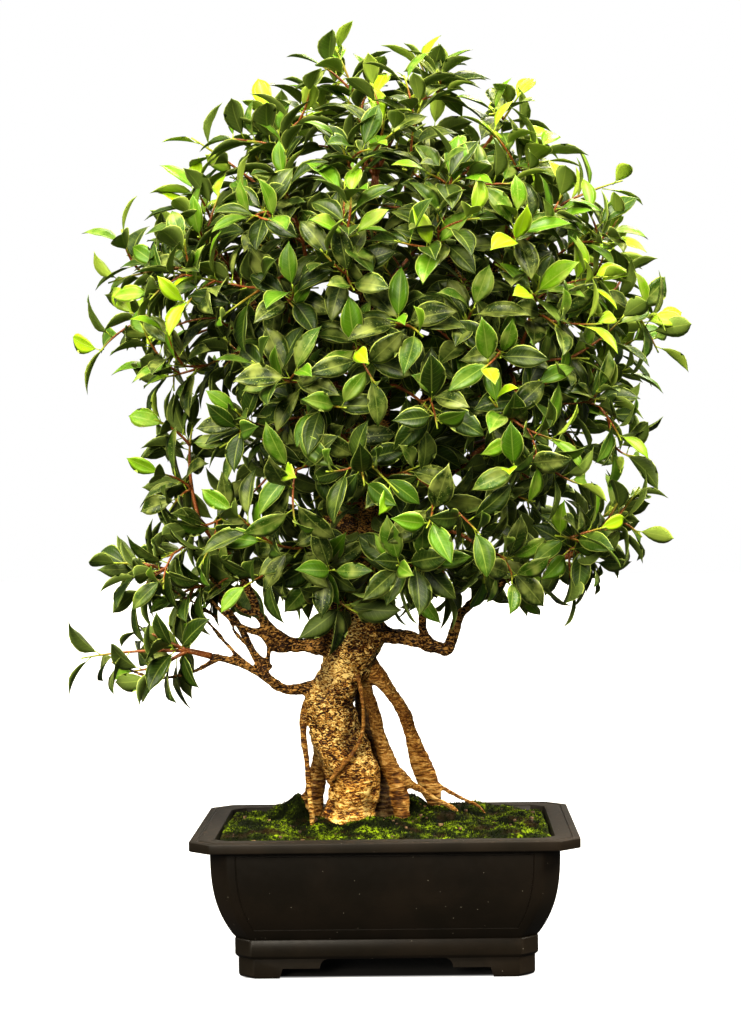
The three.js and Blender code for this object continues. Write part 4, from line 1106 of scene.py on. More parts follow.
def twig_material(look):
    """Fig twig, young wood: red-brown skin with pale breathing pores, green where it is still growing."""
    material, tree, shader = new_material("Fig twig, young wood", IOR=1.45, Roughness=0.5)
    place = add_node(tree, "TexCoord", out="Object")
    youth = add_node(tree, "Attribute", out="Fac", attribute_name="youth")
    grain = add_node(tree, "TexNoise", {"Vector": place, "Scale": per_mm(1.5), "Detail": 2})
    pores = add_node(tree, "MapRange", {"Value": grain, "From Min": 0.56, "From Max": 0.68}, **SMOOTH)
    wood = add_node(tree, "Mix", {FACTOR: pores, FIRST: look.twig_colour, SECOND: look.twig_pore_colour},
                    **COLOURS)
    colour = add_node(tree, "Mix", {FACTOR: youth, FIRST: wood, SECOND: look.petiole_colour}, **COLOURS)
    tree.links.new(colour, shader.inputs["Base Color"])
    return material


def stage_material():
    """White acrylic sheet, lit from below as a photo table is, with a painted shadow where the pot stands."""
    material, tree, shader = new_material("White acrylic, cast", Roughness=0.7, Emission_Color=WHITE)
    place = add_node(tree, "TexCoord", out="Object")
    across = add_node(tree, "SeparateXYZ", {0: place}).node.outputs
    foot_half = body_half(BASE_HEIGHT) - FOOT_INSET
    beyond = []
    for axis, half in ((0, foot_half), (1, foot_half - HALF_DIFFERENCE)):
        off = add_node(tree, "Math", {0: across[axis], 1: POT_MIDDLE[axis]}, operation="SUBTRACT")
        aside = add_node(tree, "Math", {0: off}, operation="ABSOLUTE")
        limits = {"Value": aside, "From Min": (half - FLOOR_SHADE) * MM, "From Max": half * MM}
        beyond.append(add_node(tree, "MapRange", limits, **SMOOTH))
    open_floor = add_node(tree, "Math", {0: beyond[0], 1: beyond[1]}, operation="MAXIMUM")
    glow = add_node(tree, "Math", {0: open_floor, 1: FLOOR_GLOW}, operation="MULTIPLY")
    tree.links.new(glow, shader.inputs["Emission Strength"])
    # Under the pot the floor takes the painted shadow's dark colour, and its glow stops there too
    colour = add_node(tree, "Mix", {FACTOR: open_floor, FIRST: FLOOR_PAINTED_SHADOW, SECOND: FLOOR_GREY}, **COLOURS)
    tree.links.new(colour, shader.inputs["Base Color"])
    return material


# Settings

def colour_property(name, code, place):
    return bpy.props.FloatVectorProperty(name=name, description="Colour of " + place, default=linear(code),
                                         size=3, min=0, max=1, subtype="COLOR")


def length_property(name, default, least, most, description):
    """A length that is given here in millimetres."""
    return bpy.props.FloatProperty(name=name, description=description, default=default * MM, min=least * MM,
                                   max=most * MM, unit="LENGTH", precision=4)


def strength_property(name, default, most, description):
    return bpy.props.FloatProperty(name=name, description=description, default=default, min=0, max=most)


class BonsaiPotSettings(bpy.types.PropertyGroup):
    """Colours of the pot and the moss, and the moss's mesh"""

    pot_colour: colour_property("Pot", "#1a1610", "the pot's moulded body")
    pot_sheen_colour: colour_property("Pot patches", "#211b14", "the paler patches on the pot")
    pot_worn_colour: colour_property("Pot wear", "#33281e", "the rim where it is worn")
    pot_dust_colour: colour_property("Pot dust", "#b9b2a2", "the dots of dust on the pot")
    moss_colour: colour_property("Moss tips", "#6e820f", "the moss on its mounds")
    moss_middle_colour: colour_property("Moss flanks", "#283207", "the moss on the mounds' flanks")
    # Colour of the painted shade between the mounds
    moss_painted_shade_colour: colour_property("Moss shade", "#0a0f02", "the moss between its mounds")
    moss_dead_colour: colour_property("Dead moss", "#25190a", "the brown patches")
    moss_cell: length_property("Moss mesh", 1.5, 0.5, 5, "Spacing of the points of the moss mat")
    moss_tufts: bpy.props.IntProperty(name="Moss tufts", description="How many stalks stand out of the mat",
                                      default=14000, min=0, max=30000)


class BonsaiWoodSettings(bpy.types.PropertyGroup):
    """Form and colours of trunk, roots and branches"""

    bark_dark_colour: colour_property("Bark pits", "#1d0c04", "the bark between its granules")
    bark_middle_colour: colour_property("Bark", "#784414", "the bark's skin")
    bark_light_colour: colour_property("Bark granules", "#d79d3e", "the bark's granules")
    # Colour of the painted highlight on the most raised granules
    bark_painted_highlight_colour: colour_property("Bark highlights", "#ffe08e", "the palest granules")
    # Colour of the painted shade on the bark
    bark_painted_shade_colour: colour_property("Bark shade", "#160c06", "hollows and damp places in the wood")
    root_colour: colour_property("Root", "#6b4013", "the roots' skin")
    root_light_colour: colour_property("Root rings", "#b58038", "the rings on the roots")
    # Colour of the painted highlight on the most raised rings of the roots
    root_painted_highlight_colour: colour_property("Root highlights", "#d9b06a", "the palest rings on the roots")
    branch_dark_colour: colour_property("Branch pits", "#1c0e05", "the hollows in the branches' skin")
    branch_colour: colour_property("Branch", "#53300f", "the branches' skin")
    branch_light_colour: colour_property("Branch flecks", "#c08f48", "the flecks on the branches")
    wood_voxel: length_property("Wood mesh", 1.85, 1, 5, "Spacing of the points of the wood's skin")
    bark_relief: length_property("Bark relief", 1.05, 0, 2, "Height of the bark's granules")


class BonsaiLeafSettings(bpy.types.PropertyGroup):
    """Form and colours of the leaves and their twigs"""

    leaf_old_colour: colour_property("Oldest leaf", "#273c08", "the oldest leaves")
    leaf_mature_colour: colour_property("Mature leaf", "#41650f", "mature leaves")
    leaf_middle_colour: colour_property("Half-grown leaf", "#659312", "half-grown leaves")
    leaf_young_colour: colour_property("Young leaf", "#a6cc16", "the youngest leaves")
    leaf_under_colour: colour_property("Leaf underside", "#56682a", "the lower face of mature leaves")
    leaf_under_middle_colour: colour_property("Grown underside", "#7c9140", "half-grown lower faces")
    leaf_under_young_colour: colour_property("Young underside", "#b9d24e", "the youngest lower faces")
    # Pale colour of the midrib and veins, and of the painted highlight along the rim
    leaf_vein_and_rim_highlight_colour: colour_property("Leaf veins", "#c0d064", "the midrib, the rim and the veins")
    leaf_dust_colour: colour_property("Dried water", "#a3ad58", "the film and spots of dried water")
    petiole_colour: colour_property("Leaf stalk", "#a8bf34", "leaf stalks and growing tips")
    twig_colour: colour_property("Twig", "#8c4b1a", "the twigs' skin")
    twig_pore_colour: colour_property("Twig pores", "#c89a58", "the pores on the twigs")
    leaf_thickness: length_property("Leaf thickness", 0.5, 0.2, 2, "Thickness of a leaf at its middle")


class BonsaiStageSettings(bpy.types.PropertyGroup):
    """Camera and light"""

    camera_lens: bpy.props.FloatProperty(
        name="Lens", description="Focal length in millimetres on a 36 mm frame", default=84.6, min=20,
        max=300)
    light_colour: colour_property("Light", "#fff7e6", "the five lights")
    top_strength: strength_property("Top light", 5.7, 20, "Strength of the light above")
    front_strength: strength_property("Front light", 3.6, 20, "Strength of the light beside the camera")
    left_strength: strength_property("Left light", 2.3, 20, "Strength of the light on the left")
    right_strength: strength_property("Right light", 6.2, 20, "Strength of the light on the right")
    back_strength: strength_property("Back light", 2.6, 20, "Strength of the light behind the tree")
    ambient: strength_property("Ambient light", 0.38, 2, "Strength of the even light from above")


# Pot

def cut_corner_ring(half_width, corner, z, rounding=2.2, arc=3):
    """Outline with cut and softly rounded corners at one height, counterclockwise from above."""
    half_depth = half_width - HALF_DIFFERENCE
    sharp = []
    for sx, sy in ((1, -1), (1, 1), (-1, 1), (-1, -1)):
        pair = [Vector((sx * half_width, sy * (half_depth - corner), z)),
                Vector((sx * (half_width - corner), sy * half_depth, z))]
        sharp += pair if sx * sy > 0 else pair[::-1]
    points = []
    for i, point in enumerate(sharp):
        before, after = sharp[i - 1], sharp[(i + 1) % len(sharp)]
        start = point + (before - point).normalized() * rounding
        end = point + (after - point).normalized() * rounding
        line = bent_line(start, point, end)
        points += [line(k / (arc - 1)) for k in range(arc)]
    return points


def body_half(z):
    """Half width of the body, upright at the top and drawn in towards its base."""
    height = max(0, min(1, (z - BASE_HEIGHT) / (BAND_BOTTOM - BASE_HEIGHT)))
    return BODY_HALF - BODY_TAPER * (1 - height) ** BODY_CURVE


def inner_half(z):
    return min(body_half(z) - WALL, INNER_HALF)


def foot_profile(half):
    """Stepped outline of the gap between two feet, as (along, up) points."""
    foot_end = half - FOOT_LENGTH
    ledge_end = foot_end - FOOT_RISE - LEDGE_LENGTH
    right = [(foot_end, -1), (foot_end - FOOT_RISE, LEDGE_HEIGHT), (ledge_end, LEDGE_HEIGHT)]
    rise = FOOT_HEIGHT - LEDGE_HEIGHT
    for step in range(1, 7):
        turn = step / 6 * math.pi / 2
        right.append((ledge_end - LEDGE_RISE * (1 - math.cos(turn)), LEDGE_HEIGHT + rise * math.sin(turn)))
    return right + [(-x, z) for x, z in reversed(right)]


def loose_solid(name, points, faces):
    """An object that only cuts another and is removed afterwards."""
    return make_mesh(name, points, faces, [])


def prism(name, outline, place):
    """Solid between two copies of an outline. Place gives a point for the outline's point and an end."""
    points = [place(point, end) for end in (-1, 1) for point in outline]
    sides, ends = ring_faces(2, len(outline))
    return loose_solid(name, points, [sides, ends])


def pot_profile():
    """Rings of the pot from the outside of its feet over the rim and down inside to its floor."""
    base_half = body_half(BASE_HEIGHT) + BASE_STEP
    foot_half = base_half - FOOT_INSET
    groove = RIM_HALF_WIDTH - GROOVE_INSET
    rings = [(foot_half - FOOT_BEVEL, BODY_CORNER - 3, 0), (foot_half - 1, BODY_CORNER - 2, 0.9),
             (foot_half, BODY_CORNER - 2, FOOT_BEVEL), (foot_half, BODY_CORNER - 2, FOOT_HEIGHT),
             (base_half - 0.5, BODY_CORNER - 1, FOOT_HEIGHT + FOOT_INSET - 0.6),
             (base_half, BODY_CORNER - 1, FOOT_HEIGHT + FOOT_INSET + 0.4),
             (base_half, BODY_CORNER - 1, BASE_HEIGHT - SOFT_EDGE),
             (base_half - 0.4, BODY_CORNER - 1, BASE_HEIGHT - 0.3),
             (base_half - SOFT_EDGE, BODY_CORNER - 1, BASE_HEIGHT)]
    for share in WALL_RINGS:
        z = BASE_HEIGHT + share * (BAND_BOTTOM - BASE_HEIGHT)
        rings.append((body_half(z), BODY_CORNER, z))
    rings += [(BODY_HALF, BODY_CORNER, BAND_BOTTOM - SOFT_EDGE),
              (BODY_HALF + 0.6, BODY_CORNER, BAND_BOTTOM - 0.3),
              (BODY_HALF + SOFT_EDGE, BODY_CORNER, BAND_BOTTOM)]
    edge = [(0, 0), (0.3, 0.7), (0.65, 0.93), (1, 1)]
    rings += [(RIM_HALF_WIDTH - SOFT_EDGE * (1 - out), RIM_CORNER, BAND_BOTTOM + SOFT_EDGE * up)
              for up, out in edge]
    rings += [(RIM_HALF_WIDTH - SOFT_EDGE * (1 - out), RIM_CORNER, POT_HEIGHT - SOFT_EDGE * up)
              for up, out in reversed(edge)]
    rings += [(groove + 0.3, RIM_CORNER - 2, POT_HEIGHT), (groove, RIM_CORNER - 2, POT_HEIGHT - 0.25),
              (groove - GROOVE_WIDTH / 2, RIM_CORNER - 2, POT_HEIGHT - GROOVE_DEPTH),
              (groove - GROOVE_WIDTH, RIM_CORNER - 2, POT_HEIGHT - 0.25),
              (groove - GROOVE_WIDTH - 0.3, RIM_CORNER - 2, POT_HEIGHT)]
    inner_corner = BODY_CORNER - WALL / 2
    rings += [(INNER_HALF + SOFT_EDGE, inner_corner, POT_HEIGHT),
              (INNER_HALF + 0.4, inner_corner, POT_HEIGHT - 0.35),
              (INNER_HALF, inner_corner, POT_HEIGHT - SOFT_EDGE)]
    for share in reversed(WALL_RINGS):
        z = BASE_HEIGHT + share * (BAND_BOTTOM - BASE_HEIGHT)
        rings.append((inner_half(z), inner_corner, z))
    rings += [(inner_half(z), inner_corner, z) for z in (BASE_HEIGHT, FLOOR_TOP)]
    return rings


def panel_line(along_x, side, start, end):
    """Cutter for one stretch of the line round a panel, between two corners as share across and height."""
    def at(share):
        height = between((start[1], end[1]), share)
        half = body_half(height)
        run, off = (half, half - HALF_DIFFERENCE) if along_x else (half - HALF_DIFFERENCE, half)
        across = between((start[0], end[0]), share) * (run - PANEL_INSET)
        return Vector((across, side * off, height)) if along_x else Vector((side * off, across, height))

    points, blocks = tube(at, lambda share: PANEL_LINE, 6, 10)
    return loose_solid("cut_panel", points, list(blocks))


def build_pot(look):
    """Pot from its rings, cut out between its feet, at its drainage holes and along its panels' lines."""
    rings = pot_profile()
    points = [point for ring in rings for point in cut_corner_ring(*ring)]
    count = len(cut_corner_ring(*rings[0]))
    pot = make_mesh("pot_moulded", points, list(ring_faces(len(rings), count)), [pot_material(look)])
    foot_half = body_half(BASE_HEIGHT) + BASE_STEP - FOOT_INSET
    recess_half = foot_half - FOOT_THICKNESS
    recess = [(p.x, p.y) for p in cut_corner_ring(recess_half, BODY_CORNER, 0)]
    turns = np.linspace(0, 2 * math.pi, 33)[:-1]
    hole = [(HOLE_RADIUS * math.cos(turn), HOLE_RADIUS * math.sin(turn)) for turn in turns]
    cutters = [
        prism("cut_front", foot_profile(foot_half), lambda p, end: (p[0], -end * RIM_HALF_WIDTH, p[1])),
        prism("cut_side", foot_profile(foot_half - HALF_DIFFERENCE),
              lambda p, end: (end * RIM_HALF_WIDTH, p[0], p[1])),
        prism("cut_recess", recess, lambda p, end: (p[0], p[1], FOOT_HEIGHT if end > 0 else -1)),
    ]
    for side in (-1, 1):
        cutters.append(prism("cut_hole", hole, lambda p, end, x=side * HOLE_OFFSET: (
            p[0] + x, p[1], FOOT_HEIGHT + end * 2 * FLOOR_THICKNESS)))
    corners = ((-1, PANEL_BOTTOM), (1, PANEL_BOTTOM), (1, PANEL_TOP), (-1, PANEL_TOP))
    for along_x in (True, False):
        for side in (-1, 1):
            for start, end in zip(corners, (*corners[1:], corners[0])):
                cutters.append(panel_line(along_x, side, start, end))
    for cutter in cutters:
        cut = pot.modifiers.new("cut", "BOOLEAN")
        cut.operation = "DIFFERENCE"
        cut.solver = "EXACT"
        cut.object = cutter
    apply_modifiers(pot)
    for cutter in cutters:
        bpy.data.objects.remove(cutter)
    sharpen(pot, SHARP_ANGLE)
    finish_piece(pot, "pot", "pot")
    return pot


def sharpen(piece, degrees):
    """Faces stay smooth across soft bends and flat across edges sharper than an angle."""
    mesh = bmesh.new()
    mesh.from_mesh(piece.data)
    for edge in mesh.edges:
        edge.smooth = len(edge.link_faces) == 2 and edge.calc_face_angle(0) < math.radians(degrees)
    for face in mesh.faces:
        face.smooth = True
    mesh.to_mesh(piece.data)
    mesh.free()


# Moss

def moss_mounds():
    """Mounds as x, y, breadth and height, drawn as the solid's mat draws them."""
    draw = seeded(MOUND_SEED)
    mounds = []
    for _ in range(MOSS_MOUNDS):
        x = (draw() - 0.5) * 2 * (INNER_HALF - MOUND_MARGIN)
        y = (draw() - 0.5) * 2 * (INNER_HALF - HALF_DIFFERENCE - MOUND_MARGIN)
        mounds.append((x, y, between(MOUND_BREADTH, draw()), between(MOUND_HEIGHT, draw())))
    return mounds


def moss_height(x, y, mounds):
    """Height of the solid's mat, which rises from the rim towards the tree and carries the mounds."""
    height = MOSS_EDGE + MOSS_RISE * np.exp(-((x - MOSS_SWELL["x"]) / MOSS_SWELL["breadth"]) ** 2
                                            - ((y - MOSS_SWELL["y"]) / MOSS_SWELL["depth"]) ** 2)
    for mx, my, breadth, tall in mounds:
        height = height + tall * np.exp(-((x - mx) ** 2 + (y - my) ** 2) / breadth ** 2)
    return height


def moss_cushions(x, y):
    """Cushions of 10 to 30 mm that the mounds are made of, with crumbs on them, as height in millimetres."""
    places = list(zip(x, y))
    lumps, cells, crumbs = CUSHION_LUMPS, CUSHION_CELLS, CUSHION_CRUMBS
    swelling = np.array([0.5 + 0.5 * noise.noise(Vector((a / lumps["breadth"], b / lumps["depth"], 3.7)))
                         for a, b in places])
    apart = np.array([noise.voronoi(Vector((a / cells["breadth"], b / cells["depth"], 0)))[0][0]
                      for a, b in places])
    fine = np.array([noise.fractal(Vector((a / crumbs["size"], b / crumbs["size"], 9)), 0.7, 2.1, 3)
                     for a, b in places])
    return (lumps["height"] * swelling + cells["height"] * (cells["level"] - apart) + crumbs["height"] * fine
            - CUSHION_SINK)


def build_moss(look):
    """Mat of moss as a grid with a skirt down to the soil, and its stalks and grit."""
    half_width = inner_half(SOIL_TOP) - 2 * CLEARANCE
    half_depth = half_width - HALF_DIFFERENCE
    corner = BODY_CORNER - WALL / 2
    cell = look.moss_cell / MM
    columns, rows = round(2 * half_width / cell), round(2 * half_depth / cell)
    x, y = np.meshgrid(np.linspace(-half_width, half_width, columns + 1),
                       np.linspace(-half_depth, half_depth, rows + 1))
    x, y = x.ravel(), y.ravel()
    # Points past a cut corner move onto its edge
    past = np.maximum(0, np.abs(x) - half_width + np.abs(y) - half_depth + corner) / 2
    x, y = x - np.sign(x) * past, y - np.sign(y) * past
    cushions = moss_cushions(x, y)
    inset = np.minimum(half_width - np.abs(x), half_depth - np.abs(y))
    # The mat swells along the pot's wall and rounds off where it meets it
    swell, rounding = (form["height"] * np.exp(-np.maximum(inset, 0) / form["fade"])
                       for form in (WALL_SWELL, WALL_ROUNDING))
    top = moss_height(x, y, [*moss_mounds(), *ROOT_MOUNDS]) + cushions + (swell - rounding)
    surface = np.stack([x, y, top], -1)
    floor = np.stack([x, y, np.full_like(x, SOIL_TOP + CLEARANCE)], -1)
    start = (np.arange(rows)[:, None] * (columns + 1) + np.arange(columns)[None, :]).ravel()
    grid = np.stack([start, start + 1, start + columns + 2, start + columns + 1], -1)
    edge = np.array([*range(columns)] + [r * (columns + 1) + columns for r in range(rows)]
                    + [rows * (columns + 1) + c for c in range(columns, 0, -1)]
                    + [r * (columns + 1) for r in range(rows, 0, -1)])
    under = np.arange(len(edge)) + len(surface)
    skirt = np.stack([under, np.roll(under, -1), np.roll(edge, -1), edge], -1)
    # How high each point lies in its cushion, which sets its colour from painted shade up to the light tips
    lift = np.clip((cushions + LIFT_FOOT) / LIFT_SPAN, 0, 1)
    tuft_points, tuft_faces, tuft_lift = moss_tufts(look.moss_tufts, x, y, top, inset, lift)
    tuft_faces = tuft_faces + len(surface) + len(edge)
    grit_points, grit_faces = moss_grit(x, y, top, inset)
    grit_faces = grit_faces + len(surface) + len(edge) + len(tuft_points)
    points = np.concatenate([surface, floor[edge], tuft_points, grit_points])
    lifts = np.concatenate([lift, np.zeros(len(edge)), tuft_lift, np.zeros(len(grit_points))])
    moss = make_mesh("moss_mat", points, [grid, skirt, under[::-1][None, :], tuft_faces, grit_faces],
                     [moss_material(look), grit_material()], [0, 0, 0, 0, 1], {"lift": lifts})
    finish_piece(moss, "moss", "moss")
    return moss


def moss_tufts(count, x, y, top, inset, lift):
    """Stalks as slim three-sided spikes that lean their own way out of the mat."""
    draw = np.random.default_rng(TUFT_SEED)
    inside = np.flatnonzero(inset > TUFT_INSET)
    chosen = draw.choice(inside, count)
    foot = np.stack([x[chosen], y[chosen], top[chosen] - TUFT_SINK], -1)
    foot[:, :2] += draw.uniform(-TUFT_SCATTER, TUFT_SCATTER, (count, 2))
    tall = draw.uniform(*TUFT_HEIGHT, count)
    lean = draw.normal(0, TUFT_LEAN, (count, 2))
    tip = foot + np.stack([lean[:, 0] * tall, lean[:, 1] * tall, tall], -1)
    turn = draw.uniform(0, 2 * math.pi, count)
    breadth = draw.uniform(*TUFT_BREADTH, count)
    corners = []
    for k in range(3):
        angle = turn + 2 * math.pi * k / 3
        aside = np.stack([np.cos(angle), np.sin(angle), np.zeros(count)], -1)
        corners.append(foot + aside * breadth[:, None])
    points = np.stack([*corners, tip], 1).reshape(-1, 3)
    start = np.arange(count)[:, None] * 4
    faces = np.concatenate([start + f for f in ([0, 1, 3], [1, 2, 3], [2, 0, 3], [0, 2, 1])])
    bright = np.clip(lift[chosen] + draw.uniform(*TUFT_BRIGHTER, count), 0, 1)
    return points, faces, np.repeat(bright, 4)


def moss_grit(x, y, top, inset):
    """Scattered grains of clay and bark, each an uneven block that lies in the moss."""
    draw = np.random.default_rng(GRIT_SEED)
    chosen = draw.choice(np.flatnonzero(inset > GRIT_INSET), GRIT_COUNT)
    centre = np.stack([x[chosen], y[chosen], top[chosen] + GRIT_RISE], -1)
    square = ((-1, -1), (1, -1), (1, 1), (-1, 1))
    corner = np.array([(sx, sy, sz) for sz in (-1, 1) for sx, sy in square], float)
    size = draw.uniform(*GRIT_SIZE, (GRIT_COUNT, 1, 1)) * draw.uniform(*GRIT_STRETCH, (GRIT_COUNT, 1, 3))
    points = corner[None] * size * draw.uniform(*GRIT_WEAR, (GRIT_COUNT, 8, 3))
    angle = draw.uniform(0, math.pi, GRIT_COUNT)
    across, along = np.cos(angle)[:, None], np.sin(angle)[:, None]
    turned = np.stack([points[..., 0] * across - points[..., 1] * along,
                       points[..., 0] * along + points[..., 1] * across, points[..., 2]], -1)
    start = np.arange(GRIT_COUNT)[:, None] * 8
    block = ([0, 3, 2, 1], [4, 5, 6, 7], [0, 1, 5, 4], [1, 2, 6, 5], [2, 3, 7, 6], [3, 0, 4, 7])
    return (turned + centre[:, None]).reshape(-1, 3), np.concatenate([start + f for f in block])


# Wood

def trunk_relief(angle, share):
    """Ribs that wind round the trunk, highest at its foot."""
    return 1 + RIB_HEIGHT * math.sin(3 * angle + 5 * share) * (1 - 0.83 * share)


def build_wood(look):
    """Trunk, roots and branches as tubes that one skin joins, with the bark grown on it."""
    points, blocks = [], []
    lines = []
    for kind, group in (("trunk", [TRUNK]), ("root", ROOTS), ("branch", [*all_branches(), *FINE_LIMBS])):
        for number, stations in enumerate(group):
            smooth, shaded = ROOT_SKINS[number] if kind == "root" else (0, 0)
            line = smooth_line(stations)
            radius = station_radius(stations)
            rings = max(4, round(length_of(line) / RING_SPACING))
            relief = trunk_relief if kind == "trunk" else None
            sides = TRUNK_SIDES if kind == "trunk" else BRANCH_SIDES
            tube_points, tube_blocks = tube(line, radius, sides, rings, relief)
            blocks += [block + len(points) for block in tube_blocks]
            points += tube_points
            for i in range(rings * 2):
                share = i / (rings * 2 - 1)
                lines.append((*line(share), radius(share), *heading(line, share), kind == "branch", smooth,
                              shaded))
    wood = make_mesh("tree_wood", points, blocks, [bark_material(look)])
    skin = wood.modifiers.new("skin", "REMESH")
    skin.mode = "VOXEL"
    skin.voxel_size = look.wood_voxel
    skin.use_smooth_shade = True
    soft = wood.modifiers.new("soft", "SMOOTH")
    soft.factor = 0.5
    soft.iterations = 4
    apply_modifiers(wood)
    grow_bark(wood, np.array(lines, float), look.bark_relief / MM)
    finish_piece(wood, "bark", "tree")
    return wood


def nearest_line(places, lines):
    """For each place, the number of the line point whose tube is nearest, worked out in batches."""
    nearest = np.empty(len(places), int)
    for start in range(0, len(places), BATCH):
        part = places[start:start + BATCH]
        gap = np.linalg.norm(part[:, None] - lines[None, :, :3], axis=2) - lines[None, :, 3]
        nearest[start:start + BATCH] = gap.argmin(1)
    return nearest


def grow_bark(wood, lines, relief):
    """Raises the bark's granules and rings, and keeps in attributes what kind of wood each point is and how
    much painted shade it takes. Each row of lines holds a place, a radius, a way, whether it is a branch, how
    smooth the skin is and how much painted shade it takes."""
    mesh = wood.data
    places = (points_of(mesh) - np.array(POT_MIDDLE)) / MM
    normals = np.array([v.normal for v in mesh.vertices])
    height_here = places[:, 2]
    own = lines[nearest_line(places, lines)]
    radius, upright, root, shaded = own[:, 3], np.abs(own[:, 6]), own[:, 8], own[:, 9]
    branch = np.where(own[:, 7] > 0, 1.0, 0.0)
    low = np.clip((RING_ZONE["top"] - height_here) / RING_ZONE["fade"], 0, 1)
    rings = np.clip(0.55 * low + 0.5 * root, 0, 1) * upright * (1 - branch)
    granules = np.array([noise.fractal(Vector(p) / GRANULE_SIZE, *BARK_FRACTAL) for p in places])
    flattened = places / np.array([RING_LENGTH, RING_LENGTH, RING_HEIGHT])
    stripes = np.array([noise.fractal(Vector(p), *BARK_FRACTAL) for p in flattened])
    swell = np.array([noise.noise(Vector(p) / SWELL_SIZE) for p in places])
    knots = np.array([noise.noise(Vector(p) / KNOT_SIZE + Vector((5, 1, 8))) for p in places])
    height = granules * (1 - rings) + stripes * rings
    scale = np.clip(radius / 9, 0.35, 1.6)
    swelling = (SWELL_LIFT * swell + (KNOT_LIFT + KNOT_LIFT * branch) * knots) * scale
    lift = relief * height * np.clip(scale, 0.4, 1) + swelling
    moved = places + normals * lift[:, None]
    mesh.vertices.foreach_set("co", to_frame(moved).astype(np.float32).ravel())
    # Painted shade: darker in the pits between granules, in dents at the foot, in the trunk's folds and on
    # roots that stand in shadow
    pits = np.clip((-height - 0.5) * 1.2, 0, 0.6)
    under = np.clip((TRUNK_FOOT_SHADE["top"] - height_here) / TRUNK_FOOT_SHADE["fade"], 0, 1)
    foot = under * np.clip(0.15 - 1.9 * knots, 0, 0.8)
    folds = (1 - branch) * (1 - root) * np.clip(-1.9 * swell - 0.12, 0, 0.55)
    hollow = np.maximum.reduce([pits, foot, folds, shaded])
    for key, values in (("branch", branch), ("rings", rings), ("hollow", hollow), ("root", root)):
        mesh.attributes.new(key, "FLOAT", "POINT").data.foreach_set("value", values.astype(np.float32))
    mesh.update()


# Leaves

def blade_plan():
    """Points of a leaf as (share along, share across, is on the lower face), and its faces by side."""
    across = BLADE_ACROSS
    rows = BLADE_OUTLINE[:-1]
    upper = [(i, v, 0) for i in range(len(rows)) for v in across]
    inner = range(1, len(across) - 1)
    lower = [(i, across[k], 1) for i in range(1, len(rows)) for k in inner]
    tip = (len(rows), 0, 0)
    plan = [*upper, *lower, tip]
    width = len(across)

    def at(i, k, under):
        if not under or i == 0 or k in (0, width - 1):
            return i * width + k
        return len(upper) + (i - 1) * len(inner) + k - 1

    faces = {}
    for under in (0, 1):
        quads = []
        for i in range(len(rows) - 1):
            for k in range(width - 1):
                quad = [at(i, k, under), at(i + 1, k, under), at(i + 1, k + 1, under), at(i, k + 1, under)]
                quads.append(quad if not under else quad[::-1])
        last = len(rows) - 1
        tris = []
        for k in range(width - 1):
            tri = [at(last, k, under), len(plan) - 1, at(last, k + 1, under)]
            tris.append(tri if not under else tri[::-1])
        faces[under] = (np.array(quads), np.array(tris))
    return plan, faces


def leaf_age(shoot, leaf):
    """How young a leaf is, from 0 to 1: the first ones at the tip of a growing shoot are young. Youth also
    rises towards the crown's top and sides, the right most, which is partly painted light.
    """
    growing = seeded(31 + 17 * shoot.number)
    growing()
    vigour = growing()
    top = np.interp(leaf["place"].z, (YOUTH_AND_LIGHT_BY_HEIGHT["low"], YOUTH_AND_LIGHT_BY_HEIGHT["high"]),
                    (YOUTH_AND_LIGHT_BY_HEIGHT["least"], YOUTH_AND_LIGHT_BY_HEIGHT["most"]))
    near, far, left, middle, right = YOUTH_AND_LIGHT_BY_SIDE.values()
    off = leaf["place"].x - CROWN_CENTRE.x
    side = np.interp(off, (-far, -near, near, far), (left, middle, middle, right))
    first = next(youth for least, youth in VIGOUR if vigour > least)
    start = shoot.youth * top * side * first
    age = start - YOUTH_STEP * (leaf["number"] - 1) + YOUTH_VARY * (leaf["draws"][0] - 0.5)
    return max(0.0, min(1.0, age))


